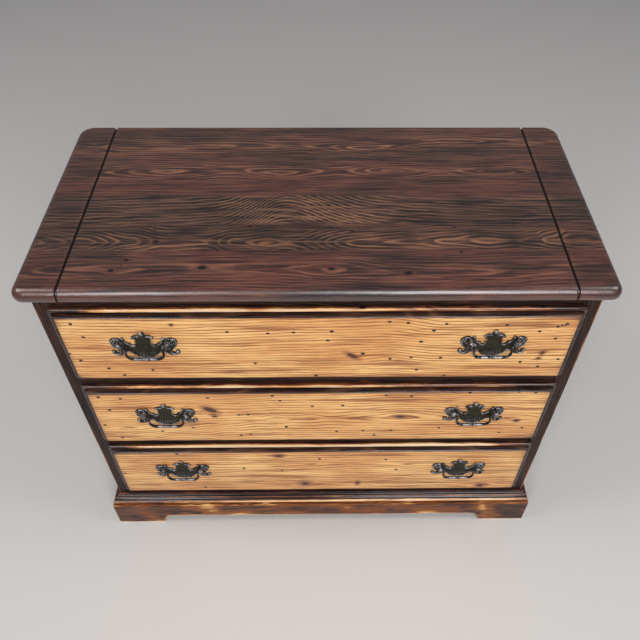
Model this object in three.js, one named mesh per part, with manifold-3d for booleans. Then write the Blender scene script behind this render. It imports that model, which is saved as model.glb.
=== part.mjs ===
// Three-drawer pine chest on a bracket plinth, with lipped drawer fronts and bat-wing pulls.
// Lengths are in millimetres, +Z is up, and the drawers open towards -Y.
// The origin is on the floor, under the middle of the whole chest.

import * as THREE from 'three';
import { mergeVertices } from 'three/addons/utils/BufferGeometryUtils.js';
import Module from 'manifold-3d';

const wasm = await Module();
wasm.setup();

// Whole case
const chestHeight = 760;
const caseWidth = 872;
const caseDepth = 413;
const boardThickness = 19;
const glueGap = 0.3;
const cutOverrun = 2;

// Top board with a half-round nosing on three sides and two sawn grooves
const topThickness = 28;
const topSideOverhang = 21;
const topFrontOverhang = 17;
const grooveInset = 70;
const grooveWidth = 4.5;
const grooveDepth = 3.5;
const nosingSteps = 10;
const topCornerRadius = 18;
const topInnerCornerRadius = 1;
const topCornerSteps = 5;

// Face frame
const frameThickness = 19;
const stileWidth = 28;
const topRailHeight = 27.5;
const railHeight = 40.5;
const bottomRailReveal = 33;

// Plinth with bracket feet
const plinthHeight = 78;
const plinthThickness = 18;
const footWidth = 100;
const archHeight = 30;
const archRun = 26;
const plinthLap = 30;
const archSteps = 8;
const archRunShares = [0, 0.06, 0.28, 1];
const archRiseShares = [0, 0.72, 1, 1];

// Base moulding: torus, quirk, bead, cavetto and top fillet
const mouldingHeight = 30;
const mouldingDepth = 15.5;
const torusRadius = 5.5;
const torusLift = 3;
const beadRadius = 3.2;
const beadLiftShare = 0.68;
const beadReachShare = 0.66;
const filletReach = 3.5;
const filletHeight = 2;
const mouldingSteps = 5;

// Back, dust bottom and drawer guides
const backThickness = 6;
const backRabbet = 9;
const dustBottomThickness = 10;
const guideWidth = 44;
const guideHeight = 19;
const guideRise = 7;
const guideRunningGap = 0.4;
const guideSideGap = 1;

// Drawers
const drawerSideGap = 1.5;
const drawerRunningGap = 0.5;
const drawerBackGap = 15;
const drawerSideThickness = 12;
const drawerSideHeight = 140;
const drawerBottomThickness = 4;
const drawerBottomLift = 10;
const drawerGrooveDepth = 6;
const drawerBackSetIn = 10;
const drawerBackHousing = 4;

// Half-blind dovetails of the drawer sides, cut up to just behind the front's lip
const tailCount = 6;
const tailWidth = 15;
const tailFlare = 1.2;
const tailLap = 0.8;

// Lipped, moulded drawer fronts
const lipOverlap = 8;
const lipBeadRadius = 4;
const lipThickness = 8;
const lipCornerRadius = 4;
const innerCornerRadius = 1;
const cornerSteps = 2;
const quirkWidth = 0.8;
const quirkDepth = 1.8;
const fieldInset = 12;
const fieldStandOff = 15.5;
const frontRebate = 6.5;
const beadSteps = 5;
const ovoloSteps = 4;

// Pulls: backplate, two posts and a hanging bail
const pullInset = 137.5;
const postLineLift = 22;
const postSpacing = 76;
const plateHalfWidth = 55;
const plateRise = 24.5;
const plateDrop = 39.5;
const plateThickness = 2.2;
const plateChamfer = 0.6;
const plateStepsPerSpan = 1;
const crownBallRadius = 4.2;
const crownBallDrop = 2.5;
const ballSegments = 8;
const shankRadius = 2.5;
const shankHoleRadius = 3;
const holeSegments = 10;
const nutRadius = 5;
const nutHeight = 4;
const collarRadius = 4.6;
const collarHeight = 1.2;
const neckRadius = 3.1;
const headRadius = 5;
const headSteps = 5;
const headFlatShare = 0.9;
const postSegments = 8;
const pivotStandOff = 9.8;
const pinRadius = 1.6;
const pinHoleRadius = 2.15;
const pinReach = 4.2;
const pinEndGap = 0.5;
const bailDrop = 33.5;
const bailHalfSpan = 30.2;
const bailCornerRadius = 12;
const bailBendRadius = 2.2;
const bailArmRadius = 1.9;
const bailGripRadius = 2.6;
const bailRingRadius = 3.3;
const bailRingPitch = 2.4;
const bailRings = 5;
const bailSides = 8;
const bailBendSteps = 2;
const bailCornerSteps = 5;

// Levels and planes that follow from the sizes above.
// The front face of the frame is the plane y = 0 until the whole chest is centred.
const caseHalf = caseWidth / 2;
const caseTop = chestHeight - topThickness;
const caseBottom = plinthHeight - plinthLap;
const innerHalf = caseHalf - boardThickness;
const openingHalf = caseHalf - stileWidth;
const bottomRailTop = plinthHeight + mouldingHeight + bottomRailReveal;
const drawerNames = ['upper', 'middle', 'lower'];
const drawerCount = drawerNames.length;
const railStack = topRailHeight + (drawerCount - 1) * railHeight;
const openingHeight = (caseTop - bottomRailTop - railStack) / drawerCount;
const drawerPitch = openingHeight + railHeight;
const backPlane = caseDepth - backThickness;
const lipHalf = openingHalf + lipOverlap;
const pullOffset = lipHalf - pullInset;
const lipHeight = openingHeight + 2 * lipOverlap;
const drawerHalf = openingHalf - drawerSideGap;
const drawerRear = backPlane - drawerBackGap;
const headFront = pivotStandOff + headRadius * headFlatShare;
const frontReach = Math.max(fieldStandOff + headFront, plinthThickness + glueGap, topFrontOverhang);
const depthCentre = (caseDepth - frontReach) / 2;

// Finishes
function finish(color, roughness, metalness) {
  return new THREE.MeshStandardMaterial({ color, roughness, metalness });
}
const stainedPine = finish(0x3b2118, 0.42, 0);
const naturalPine = finish(0xd8a566, 0.5, 0);
const plainPine = finish(0xcbb083, 0.7, 0);
const hardboard = finish(0x7a5a3c, 0.8, 0);
const darkBronze = finish(0x2f2b26, 0.4, 0.8);

// Shape helpers

function addMesh(parent, name, geometry, material) {
  const mesh = new THREE.Mesh(geometry, material);
  mesh.name = name;
  parent.add(mesh);
  return mesh;
}

function addBoard(parent, name, xs, ys, zs, material) {
  const geometry = new THREE.BoxGeometry(xs[1] - xs[0], ys[1] - ys[0], zs[1] - zs[0]);
  const mesh = addMesh(parent, name, geometry, material);
  mesh.position.set((xs[0] + xs[1]) / 2, (ys[0] + ys[1]) / 2, (zs[0] + zs[1]) / 2);
  return mesh;
}

function blockGeometry(xs, ys, zs) {
  const geometry = new THREE.BoxGeometry(xs[1] - xs[0], ys[1] - ys[0], zs[1] - zs[0]);
  geometry.translate((xs[0] + xs[1]) / 2, (ys[0] + ys[1]) / 2, (zs[0] + zs[1]) / 2);
  return geometry;
}

function polygon(points) {
  return new THREE.Shape(points.map(([u, v]) => new THREE.Vector2(u, v)));
}

// A section drawn in (y, z) and run along X.
function extrudeAlongX(points, xs) {
  const geometry = new THREE.ExtrudeGeometry(polygon(points), { depth: xs[1] - xs[0], bevelEnabled: false });
  const along = new THREE.Vector3(1, 0, 0);
  const back = new THREE.Vector3(0, 1, 0);
  const up = new THREE.Vector3(0, 0, 1);
  geometry.applyMatrix4(new THREE.Matrix4().makeBasis(back, up, along));
  geometry.translate(xs[0], 0, 0);
  return geometry;
}

// A section drawn in (x, z) and run along Y.
function extrudeAlongY(points, ys) {
  const geometry = new THREE.ExtrudeGeometry(polygon(points), { depth: ys[1] - ys[0], bevelEnabled: false });
  geometry.rotateX(Math.PI / 2);
  geometry.translate(0, ys[1], 0);
  return geometry;
}

function extrudeAlongZ(points, zs) {
  const geometry = new THREE.ExtrudeGeometry(polygon(points), { depth: zs[1] - zs[0], bevelEnabled: false });
  geometry.translate(0, 0, zs[0]);
  return geometry;
}

function bareGeometry(positions, index) {
  const geometry = new THREE.BufferGeometry();
  geometry.setAttribute('position', new THREE.Float32BufferAttribute(positions.flat(), 3));
  geometry.setIndex(index);
  return geometry;
}

// Turns every triangle round where the enclosed volume comes out negative.
function facingOut(positions, index) {
  let volume = 0;
  const a = new THREE.Vector3();
  const b = new THREE.Vector3();
  const c = new THREE.Vector3();
  for (let i = 0; i < index.length; i += 3) {
    a.fromArray(positions[index[i]]);
    b.fromArray(positions[index[i + 1]]);
    c.fromArray(positions[index[i + 2]]);
    volume += a.dot(b.cross(c));
  }
  return bareGeometry(positions, volume < 0 ? index.slice().reverse() : index);
}

// Closes a stack of rings with equal point counts; outline triangulates both ends.
function loftRings(rings, outline) {
  const count = outline.length;
  const positions = rings.flat();
  const index = [];
  for (let r = 0; r < rings.length - 1; r += 1) {
    for (let k = 0; k < count; k += 1) {
      const next = (k + 1) % count;
      const low = r * count;
      const high = low + count;
      index.push(low + k, low + next, high + next);
      index.push(low + k, high + next, high + k);
    }
  }
  const flat = outline.map(([u, v]) => new THREE.Vector2(u, v));
  const counterClockwise = THREE.ShapeUtils.area(flat) > 0;
  const top = (rings.length - 1) * count;
  for (const face of THREE.ShapeUtils.triangulateShape(flat, [])) {
    const [a, b, c] = counterClockwise ? face : face.slice().reverse();
    index.push(c, b, a);
    index.push(top + a, top + b, top + c);
  }
  return facingOut(positions, index);
}

function solidOf(geometry) {
  const bare = geometry.clone();
  bare.deleteAttribute('normal');
  bare.deleteAttribute('uv');
  const merged = mergeVertices(bare);
  const vertProperties = new Float32Array(merged.attributes.position.array);
  const triVerts = new Uint32Array(merged.index.array);
  return new wasm.Manifold(new wasm.Mesh({ numProp: 3, vertProperties, triVerts }));
}

function geometryOf(solid) {
  const mesh = solid.getMesh();
  const geometry = new THREE.BufferGeometry();
  geometry.setAttribute('position', new THREE.BufferAttribute(new Float32Array(mesh.vertProperties), 3));
  geometry.setIndex(Array.from(mesh.triVerts));
  return geometry;
}

// A round bar along Y, used to bore holes through the fronts and plates.
function borer(radius, segments, x, z, ys) {
  const geometry = new THREE.CylinderGeometry(radius, radius, ys[1] - ys[0], segments);
  geometry.translate(x, (ys[0] + ys[1]) / 2, z);
  return solidOf(geometry);
}

// Points on an elliptical arc, from one angle to another in radians.
function arcPoints(centreU, centreV, radiusU, radiusV, from, to, steps) {
  return Array.from({ length: steps + 1 }, (_, k) => {
    const angle = from + ((to - from) * k) / steps;
    return [centreU + radiusU * Math.cos(angle), centreV + radiusV * Math.sin(angle)];
  });
}

// Top board

// The board's outline in plan, at an inset of the front and both ends from their widest line.
// The front corners tighten with the inset. The back stays upright, so its corners keep their radius.
function topBoardPlan(inset) {
  const quarter = Math.PI / 2;
  const halfWidth = caseHalf + topSideOverhang - inset;
  const corner = (side, centreY, radius, from, to) => arcPoints(
    side * (halfWidth - radius), centreY, radius, radius, from, to, topCornerSteps,
  );
  const frontRadius = Math.max(topCornerRadius - inset, topInnerCornerRadius);
  const frontY = frontRadius + inset - topFrontOverhang;
  const backY = caseDepth - topCornerRadius;
  return [
    ...corner(1, backY, topCornerRadius, 0, quarter),
    ...corner(-1, backY, topCornerRadius, quarter, 2 * quarter),
    ...corner(-1, frontY, frontRadius, 2 * quarter, 3 * quarter),
    ...corner(1, frontY, frontRadius, 3 * quarter, 4 * quarter),
  ];
}

// The half-round edge runs along the front and both ends, and follows the rounded corners.
function topBoardGeometry() {
  const halfWidth = caseHalf + topSideOverhang;
  const nose = topThickness / 2;
  const middle = caseTop + nose;
  const quarter = Math.PI / 2;
  const nosing = arcPoints(0, middle, nose, nose, -quarter, quarter, nosingSteps);
  const rings = nosing.map(([reach, z]) => topBoardPlan(nose - reach).map(([x, y]) => [x, y, z]));
  let board = solidOf(loftRings(rings, topBoardPlan(nose)));
  // Each groove follows the nosing at an even depth and runs out at the underside.
  const keptNose = nose - grooveDepth;
  const noseCentre = nose - topFrontOverhang;
  const keptFront = arcPoints(noseCentre, middle, keptNose, keptNose, quarter, 3 * quarter, nosingSteps);
  const keptSection = [
    [caseDepth + cutOverrun, middle + keptNose],
    ...keptFront,
    [noseCentre, caseTop - cutOverrun],
    [caseDepth + cutOverrun, caseTop - cutOverrun],
  ];
  for (const side of [-1, 1]) {
    const centre = side * (halfWidth - grooveInset);
    const xs = [centre - grooveWidth / 2, centre + grooveWidth / 2];
    const ys = [-topFrontOverhang - cutOverrun, caseDepth + cutOverrun];
    const slice = solidOf(blockGeometry(xs, ys, [caseTop + cutOverrun, chestHeight + cutOverrun]));
    const kept = solidOf(extrudeAlongX(keptSection, [xs[0] - cutOverrun, xs[1] + cutOverrun]));
    board = board.subtract(slice.subtract(kept));
  }
  return geometryOf(board);
}

// Base moulding

function mouldingSection() {
  const quarter = Math.PI / 2;
  const torusReach = mouldingDepth - torusRadius;
  const torusMiddle = torusLift + torusRadius;
  const beadReach = mouldingDepth * beadReachShare - beadRadius;
  const beadMiddle = mouldingHeight * beadLiftShare;
  const halfRound = (reach, middle, radius) => arcPoints(
    reach, middle, radius, radius, -quarter, quarter, mouldingSteps,
  );
  const torus = halfRound(torusReach, torusMiddle, torusRadius);
  const bead = halfRound(beadReach, beadMiddle, beadRadius);
  const coveBottom = beadMiddle + beadRadius;
  const coveTop = mouldingHeight - filletHeight;
  const cove = arcPoints(
    beadReach, coveTop, beadReach - filletReach, coveTop - coveBottom, -quarter, -2 * quarter, mouldingSteps,
  );
  return [
    [0, 0],
    [torusReach, 0],
    ...torus,
    ...bead,
    ...cove.slice(1),
    [filletReach, mouldingHeight],
    [0, mouldingHeight],
  ];
}

function mouldingFrontGeometry(section) {
  const ring = (side) => section.map(([reach, lift]) => [
    side * (caseHalf + reach), -reach - glueGap, plinthHeight + glueGap + lift,
  ]);
  return loftRings([ring(-1), ring(1)], section);
}

function mouldingSideGeometry(section, side) {
  const front = section.map(([reach, lift]) => [
    side * (caseHalf + glueGap + reach), -reach, plinthHeight + glueGap + lift,
  ]);
  const back = section.map(([reach, lift]) => [
    side * (caseHalf + glueGap + reach), caseDepth, plinthHeight + glueGap + lift,
  ]);
  return loftRings([front, back], section);
}

// Plinth boards

// One foot's inner edge: a steep toe that eases into the level of the arch.
function archEdge(startU, direction) {
  const curve = new THREE.CubicBezierCurve(...archRunShares.map((share, k) => new THREE.Vector2(
    startU + direction * archRun * share, archHeight * archRiseShares[k],
  )));
  return curve.getPoints(archSteps).map((point) => [point.x, point.y]);
}

function plinthOutline(from, to) {
  return [
    [from, plinthHeight],
    [from, 0],
    ...archEdge(from + footWidth, 1),
    ...archEdge(to - footWidth, -1).reverse(),
    [to, 0],
    [to, plinthHeight],
  ];
}

function plinthFrontGeometry() {
  const outerHalf = caseHalf + plinthThickness;
  const outline = plinthOutline(-outerHalf, outerHalf);
  const front = outline.map(([x, z]) => [x, -plinthThickness - glueGap, z]);
  const back = outline.map(([x, z]) => {
    const end = Math.abs(x) === outerHalf;
    return [end ? Math.sign(x) * caseHalf : x, -glueGap, z];
  });
  return loftRings([front, back], outline);
}

function plinthSideGeometry(side) {
  const frontEnd = -plinthThickness;
  const outline = plinthOutline(frontEnd, caseDepth);
  const outer = outline.map(([y, z]) => [side * (caseHalf + glueGap + plinthThickness), y, z]);
  const inner = outline.map(([y, z]) => [side * (caseHalf + glueGap), y === frontEnd ? 0 : y, z]);
  return loftRings([outer, inner], outline);
}

// The back board is notched round the case sides, which stop short of the floor.
function plinthBackGeometry() {
  const notchZ = caseBottom - glueGap;
  const wide = caseHalf - glueGap;
  const narrow = innerHalf - glueGap;
  const outline = [
    [narrow, plinthHeight],
    [-narrow, plinthHeight],
    [-narrow, notchZ],
    [-wide, notchZ],
    [-wide, 0],
    ...archEdge(-caseHalf - plinthThickness + footWidth, 1),
    ...archEdge(caseHalf + plinthThickness - footWidth, -1).reverse(),
    [wide, 0],
    [wide, notchZ],
    [narrow, notchZ],
  ];
  return extrudeAlongY(outline, [caseDepth - plinthThickness, caseDepth]);
}

// Case

const chest = new THREE.Group();
const carcass = new THREE.Group();
chest.add(carcass);

addMesh(carcass, 'top_board', topBoardGeometry(), stainedPine);

const caseZs = [caseBottom, caseTop - glueGap];
for (const [name, side] of [['side_left', -1], ['side_right', 1]]) {
  const rabbetY = backPlane - glueGap;
  const section = [
    [side * caseHalf, frameThickness + glueGap],
    [side * caseHalf, caseDepth],
    [side * (innerHalf + backRabbet), caseDepth],
    [side * (innerHalf + backRabbet), rabbetY],
    [side * innerHalf, rabbetY],
    [side * innerHalf, frameThickness + glueGap],
  ];
  addMesh(carcass, name, extrudeAlongZ(side < 0 ? section.reverse() : section, caseZs), stainedPine);
}

const frameYs = [0, frameThickness];
addBoard(carcass, 'stile_left', [-caseHalf, -openingHalf], frameYs, caseZs, stainedPine);
addBoard(carcass, 'stile_right', [openingHalf, caseHalf], frameYs, caseZs, stainedPine);

const railXs = [glueGap - openingHalf, openingHalf - glueGap];
const topRailBottom = caseTop - topRailHeight;
addBoard(carcass, 'top_rail', railXs, frameYs, [topRailBottom, caseTop - glueGap], stainedPine);
const openingBottoms = drawerNames.map((_, k) => topRailBottom - openingHeight - k * drawerPitch);
const railTops = ['rail_upper', 'rail_lower'].map((name, k) => {
  const railTop = openingBottoms[k];
  addBoard(carcass, name, railXs, frameYs, [railTop - railHeight, railTop], stainedPine);
  return railTop;
});
addBoard(carcass, 'bottom_rail', railXs, frameYs, [caseBottom, bottomRailTop], stainedPine);
railTops.push(bottomRailTop);

const insideYs = [frameThickness + glueGap, backPlane - glueGap];
const backHalf = innerHalf + backRabbet - glueGap;
addBoard(
  carcass, 'back_panel', [-backHalf, backHalf], [backPlane, caseDepth],
  [plinthHeight + glueGap, caseTop - glueGap], hardboard,
);
const guideDrop = guideHeight - guideRise;
const dustTop = bottomRailTop - guideDrop - glueGap;
addBoard(
  carcass, 'bottom_panel', [glueGap - innerHalf, innerHalf - glueGap], insideYs,
  [dustTop - dustBottomThickness, dustTop], plainPine,
);
drawerNames.forEach((name, k) => {
  const guideZs = [railTops[k] - guideDrop, railTops[k] + guideRise];
  addBoard(carcass, `${name}_drawer_guide`, [-guideWidth / 2, guideWidth / 2], insideYs, guideZs, plainPine);
});

addMesh(carcass, 'plinth_front', plinthFrontGeometry(), stainedPine);
addMesh(carcass, 'plinth_left', plinthSideGeometry(-1), stainedPine);
addMesh(carcass, 'plinth_right', plinthSideGeometry(1), stainedPine);
addMesh(carcass, 'plinth_back', plinthBackGeometry(), plainPine);

const section = mouldingSection();
addMesh(carcass, 'moulding_front', mouldingFrontGeometry(section), stainedPine);
addMesh(carcass, 'moulding_left', mouldingSideGeometry(section, -1), stainedPine);
addMesh(carcass, 'moulding_right', mouldingSideGeometry(section, 1), stainedPine);

// Pull

// The plate's edge, from the crown down one side to the foot, as shares of the half width
// and of the height above the lowest point. Each run is smooth and meets the next in a cusp.
const crownRunShares = [[0, 1], [0.066, 0.975], [0.093, 0.917], [0.082, 0.874]];
const curlRunShares = [
  [0.082, 0.874], [0.19, 0.88], [0.285, 0.83], [0.322, 0.775], [0.29, 0.735], [0.232, 0.742],
];
const neckRunShares = [
  [0.232, 0.742], [0.208, 0.66], [0.21, 0.565], [0.262, 0.502], [0.34, 0.51], [0.395, 0.573],
];
const hornRunShares = [
  [0.395, 0.573], [0.468, 0.598], [0.522, 0.66], [0.552, 0.778], [0.612, 0.778], [0.655, 0.73],
];
const lobeRunShares = [
  [0.655, 0.73], [0.75, 0.772], [0.87, 0.755], [0.962, 0.672], [0.965, 0.55], [0.895, 0.408], [0.79, 0.31],
];
const hookRunShares = [
  [0.79, 0.31], [0.782, 0.24], [0.83, 0.207], [0.87, 0.26], [0.925, 0.3], [0.99, 0.262], [0.982, 0.165],
  [0.88, 0.098], [0.75, 0.09], [0.64, 0.145], [0.565, 0.245],
];
const waistRunShares = [[0.565, 0.245], [0.49, 0.29], [0.415, 0.262], [0.35, 0.17], [0.305, 0.1]];
const bowlRunShares = [[0.305, 0.1], [0.235, 0.035], [0.12, 0.006], [0, 0]];

function plateHalfOutline() {
  const runs = [
    crownRunShares, curlRunShares, neckRunShares, hornRunShares,
    lobeRunShares, hookRunShares, waistRunShares, bowlRunShares,
  ];
  const points = [];
  for (const run of runs) {
    const curve = new THREE.CatmullRomCurve3(run.map(([u, v]) => new THREE.Vector3(
      u * plateHalfWidth, v * (plateRise + plateDrop) - plateDrop, 0,
    )));
    const samples = (run.length - 1) * plateStepsPerSpan;
    const smooth = Array.from({ length: samples }, (_, k) => curve.getPoint(k / samples));
    points.push(...smooth.map((point) => [point.x, point.y]));
  }
  return points;
}

function plateOutline() {
  const right = plateHalfOutline();
  const foot = [0, -plateDrop];
  const left = right.slice(1).reverse().map(([x, z]) => [-x, z]);
  return [...right, foot, ...left];
}

// Moves each point of an outline inwards along the mean of its two edge normals.
function insetOutline(outline, distance) {
  const count = outline.length;
  const flat = outline.map(([u, v]) => new THREE.Vector2(u, v));
  const turn = Math.sign(THREE.ShapeUtils.area(flat));
  return flat.map((point, k) => {
    const before = point.clone().sub(flat[(k + count - 1) % count]).normalize();
    const after = flat[(k + 1) % count].clone().sub(point).normalize();
    const tangent = before.add(after).normalize();
    return [point.x - turn * distance * tangent.y, point.y + turn * distance * tangent.x];
  });
}

function backplateGeometry() {
  const outline = plateOutline();
  const inner = insetOutline(outline, plateChamfer);
  const backY = -glueGap;
  const frontY = backY - plateThickness;
  const rings = [
    outline.map(([x, z]) => [x, backY, z]),
    outline.map(([x, z]) => [x, frontY + plateChamfer, z]),
    inner.map(([x, z]) => [x, frontY, z]),
  ];
  let plate = solidOf(loftRings(rings, outline));
  const ballTop = plateRise - crownBallDrop + crownBallRadius;
  const ball = new THREE.SphereGeometry(crownBallRadius, ballSegments, ballSegments / 2);
  ball.translate(0, frontY, plateRise - crownBallDrop);
  const behind = blockGeometry(
    [-plateHalfWidth, plateHalfWidth],
    [backY - plateThickness / 2, crownBallRadius],
    [-plateDrop, ballTop + cutOverrun],
  );
  plate = plate.add(solidOf(ball).subtract(solidOf(behind)));
  const holeYs = [frontY - cutOverrun, cutOverrun];
  for (const side of [-1, 1]) {
    plate = plate.subtract(borer(shankHoleRadius, holeSegments, (side * postSpacing) / 2, 0, holeYs));
  }
  return geometryOf(plate);
}

// A post is a headed bolt: the head carries the bail's pin, the nut sits behind the drawer front.
function postGeometry(side) {
  const frontInside = fieldStandOff + frontRebate + glueGap;
  const collarFoot = 2 * glueGap + plateThickness;
  const collarTop = collarFoot + collarHeight;
  const headStart = Math.asin(neckRadius / headRadius);
  const headEnd = Math.acos(headFlatShare);
  const head = arcPoints(
    0, pivotStandOff, headRadius, headRadius, headStart - Math.PI / 2, Math.PI / 2 - headEnd, headSteps,
  );
  const profile = [
    [0, -frontInside - nutHeight],
    [nutRadius, -frontInside - nutHeight],
    [nutRadius, -frontInside],
    [shankRadius, -frontInside],
    [shankRadius, collarFoot],
    [collarRadius, collarFoot],
    [collarRadius, collarTop],
    ...head,
    [0, pivotStandOff + headRadius * headFlatShare],
  ];
  const halfSection = profile.map(([radius, reach]) => new THREE.Vector2(radius, -reach));
  const turned = new THREE.LatheGeometry(halfSection.reverse(), postSegments);
  // Half a step of turn puts a flat of the head square to the pin.
  turned.rotateY(Math.PI / postSegments);
  const socketEnd = bailHalfSpan + bailBendRadius + pinReach + pinEndGap - postSpacing / 2;
  const socketMouth = -headRadius - cutOverrun;
  const socketDepth = socketEnd - socketMouth;
  const socket = new THREE.CylinderGeometry(pinHoleRadius, pinHoleRadius, socketDepth, holeSegments);
  socket.rotateZ(Math.PI / 2);
  socket.translate((side * (socketMouth + socketEnd)) / 2, -pivotStandOff, 0);
  return geometryOf(solidOf(turned).subtract(solidOf(socket)));
}

// Centre line and radius of the bail, from the middle of the grip to one pin's end.
// The rings' crests and valleys come first, half a pitch apart, with a crest in the middle.
function bailHalfStations() {
  const quarter = Math.PI / 2;
  const stations = Array.from({ length: bailRings + 1 }, (_, k) => [
    (k * bailRingPitch) / 2, -bailDrop, k % 2 === 0 ? bailRingRadius : bailGripRadius,
  ]);
  const corner = arcPoints(
    bailHalfSpan - bailCornerRadius, bailCornerRadius - bailDrop, bailCornerRadius, bailCornerRadius,
    -quarter, 0, bailCornerSteps,
  );
  corner.forEach(([x, z], k) => {
    const blend = k / bailCornerSteps;
    stations.push([x, z, bailGripRadius + (bailArmRadius - bailGripRadius) * blend]);
  });
  const bend = arcPoints(
    bailHalfSpan + bailBendRadius, -bailBendRadius, bailBendRadius, bailBendRadius,
    2 * quarter, quarter, bailBendSteps,
  );
  bend.forEach(([x, z], k) => {
    const blend = k / bailBendSteps;
    stations.push([x, z, bailArmRadius + (pinRadius - bailArmRadius) * blend]);
  });
  stations.push([bailHalfSpan + bailBendRadius + pinReach, 0, pinRadius]);
  return stations;
}

function bailGeometry() {
  const half = bailHalfStations();
  const mirrored = half.slice(1).reverse().map(([x, z, r]) => [-x, z, r]);
  const stations = [...mirrored, ...half];
  const section = Array.from({ length: bailSides }, (_, k) => {
    const angle = ((2 * k + 1) * Math.PI) / bailSides;
    return [Math.cos(angle), Math.sin(angle)];
  });
  const rings = stations.map(([x, z, radius], k) => {
    const [beforeX, beforeZ] = stations[Math.max(k - 1, 0)];
    const [afterX, afterZ] = stations[Math.min(k + 1, stations.length - 1)];
    const tangent = new THREE.Vector2(afterX - beforeX, afterZ - beforeZ).normalize();
    return section.map(([u, v]) => [
      x - tangent.y * radius * u, -pivotStandOff + radius * v, z + tangent.x * radius * u,
    ]);
  });
  return loftRings(rings, section);
}

const backplateShape = backplateGeometry();
const bailShape = bailGeometry();
const postShapes = { left: postGeometry(-1), right: postGeometry(1) };

function addPull(parent, name, x, z) {
  const pull = new THREE.Group();
  pull.position.set(x, -fieldStandOff, z);
  parent.add(pull);
  addMesh(pull, `${name}_backplate`, backplateShape, darkBronze);
  addMesh(pull, `${name}_bail`, bailShape, darkBronze);
  for (const [end, side] of [['left', -1], ['right', 1]]) {
    const post = addMesh(pull, `${name}_post_${end}`, postShapes[end], darkBronze);
    post.position.x = (side * postSpacing) / 2;
  }
}

// Drawer

// A rectangle in (x, z) with small round corners, centred on the drawer front.
function roundedRectangle(halfWidth, halfHeight, radius) {
  const quarter = Math.PI / 2;
  const corners = [[1, 1, 0], [-1, 1, 1], [-1, -1, 2], [1, -1, 3]];
  return corners.flatMap(([signX, signZ, turn]) => arcPoints(
    signX * (halfWidth - radius), signZ * (halfHeight - radius), radius, radius,
    turn * quarter, (turn + 1) * quarter, cornerSteps,
  ));
}

// Inset from the lip's outer edge, and distance in front of the frame, from back to field.
function frontProfile() {
  const bodyInset = lipOverlap + drawerSideGap;
  const beadTop = lipThickness - lipBeadRadius;
  const bead = arcPoints(lipBeadRadius, beadTop, lipBeadRadius, lipBeadRadius, Math.PI, 0, beadSteps);
  const ovoloInset = 2 * lipBeadRadius + quirkWidth;
  const ovoloStart = lipThickness - quirkDepth;
  const ovolo = arcPoints(
    fieldInset, ovoloStart, fieldInset - ovoloInset, fieldStandOff - ovoloStart,
    Math.PI, Math.PI / 2, ovoloSteps,
  );
  return [
    [bodyInset, -frontRebate],
    [bodyInset, glueGap],
    [lipBeadRadius / 4, glueGap],
    ...bead,
    ...ovolo,
  ];
}

const halfLipHeight = lipHeight / 2;
const postLine = halfLipHeight + postLineLift;
const sideBottom = lipOverlap + drawerRunningGap;
const sideTop = sideBottom + drawerSideHeight;
const panelBottom = sideBottom + drawerBottomLift;
const panelZs = [panelBottom, panelBottom + drawerBottomThickness];
const grooveZs = [panelZs[0] - glueGap, panelZs[1] + glueGap];
const sideInner = drawerHalf - drawerSideThickness;
const panelHalf = sideInner + drawerGrooveDepth - glueGap;
const backRear = drawerRear - drawerBackSetIn;
const backFront = backRear - drawerSideThickness;
const sideFront = frontRebate + glueGap;
const tailFront = 2 * glueGap + tailLap;

// The tails widen towards the front; a clearance makes them the sockets of the drawer front.
function tailSolids(xs, ys, clearance) {
  const slope = tailFlare / (sideFront - tailFront);
  const halfAt = (y) => tailWidth / 2 + clearance - slope * (y - tailFront);
  return Array.from({ length: tailCount }, (_, k) => {
    const z = sideBottom + ((k + 0.5) * drawerSideHeight) / tailCount;
    const outline = [
      [ys[0], z - halfAt(ys[0])],
      [ys[1], z - halfAt(ys[1])],
      [ys[1], z + halfAt(ys[1])],
      [ys[0], z + halfAt(ys[0])],
    ];
    return solidOf(extrudeAlongX(outline, xs));
  });
}

function drawerFrontGeometry() {
  const rings = frontProfile().map(([inset, forward]) => {
    const radius = Math.max(lipCornerRadius - inset, innerCornerRadius);
    const loop = roundedRectangle(lipHalf - inset, halfLipHeight - inset, radius);
    return loop.map(([x, z]) => [x, -forward, z + halfLipHeight]);
  });
  const outline = roundedRectangle(lipHalf, halfLipHeight, lipCornerRadius);
  let front = solidOf(loftRings(rings, outline));
  const grooveYs = [frontRebate - drawerGrooveDepth, frontRebate + cutOverrun];
  const grooveXs = [-panelHalf - glueGap, panelHalf + glueGap];
  front = front.subtract(solidOf(blockGeometry(grooveXs, grooveYs, grooveZs)));
  const socketYs = [tailFront - glueGap, frontRebate + cutOverrun];
  const socketXs = [sideInner - glueGap, drawerHalf + cutOverrun];
  for (const xs of [socketXs, [-socketXs[1], -socketXs[0]]]) {
    for (const socket of tailSolids(xs, socketYs, glueGap)) {
      front = front.subtract(socket);
    }
  }
  for (const pull of [-pullOffset, pullOffset]) {
    for (const side of [-1, 1]) {
      const x = pull + (side * postSpacing) / 2;
      const ys = [-fieldStandOff - cutOverrun, frontRebate + cutOverrun];
      front = front.subtract(borer(shankHoleRadius, holeSegments, x, postLine, ys));
    }
  }
  return geometryOf(front);
}

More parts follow.
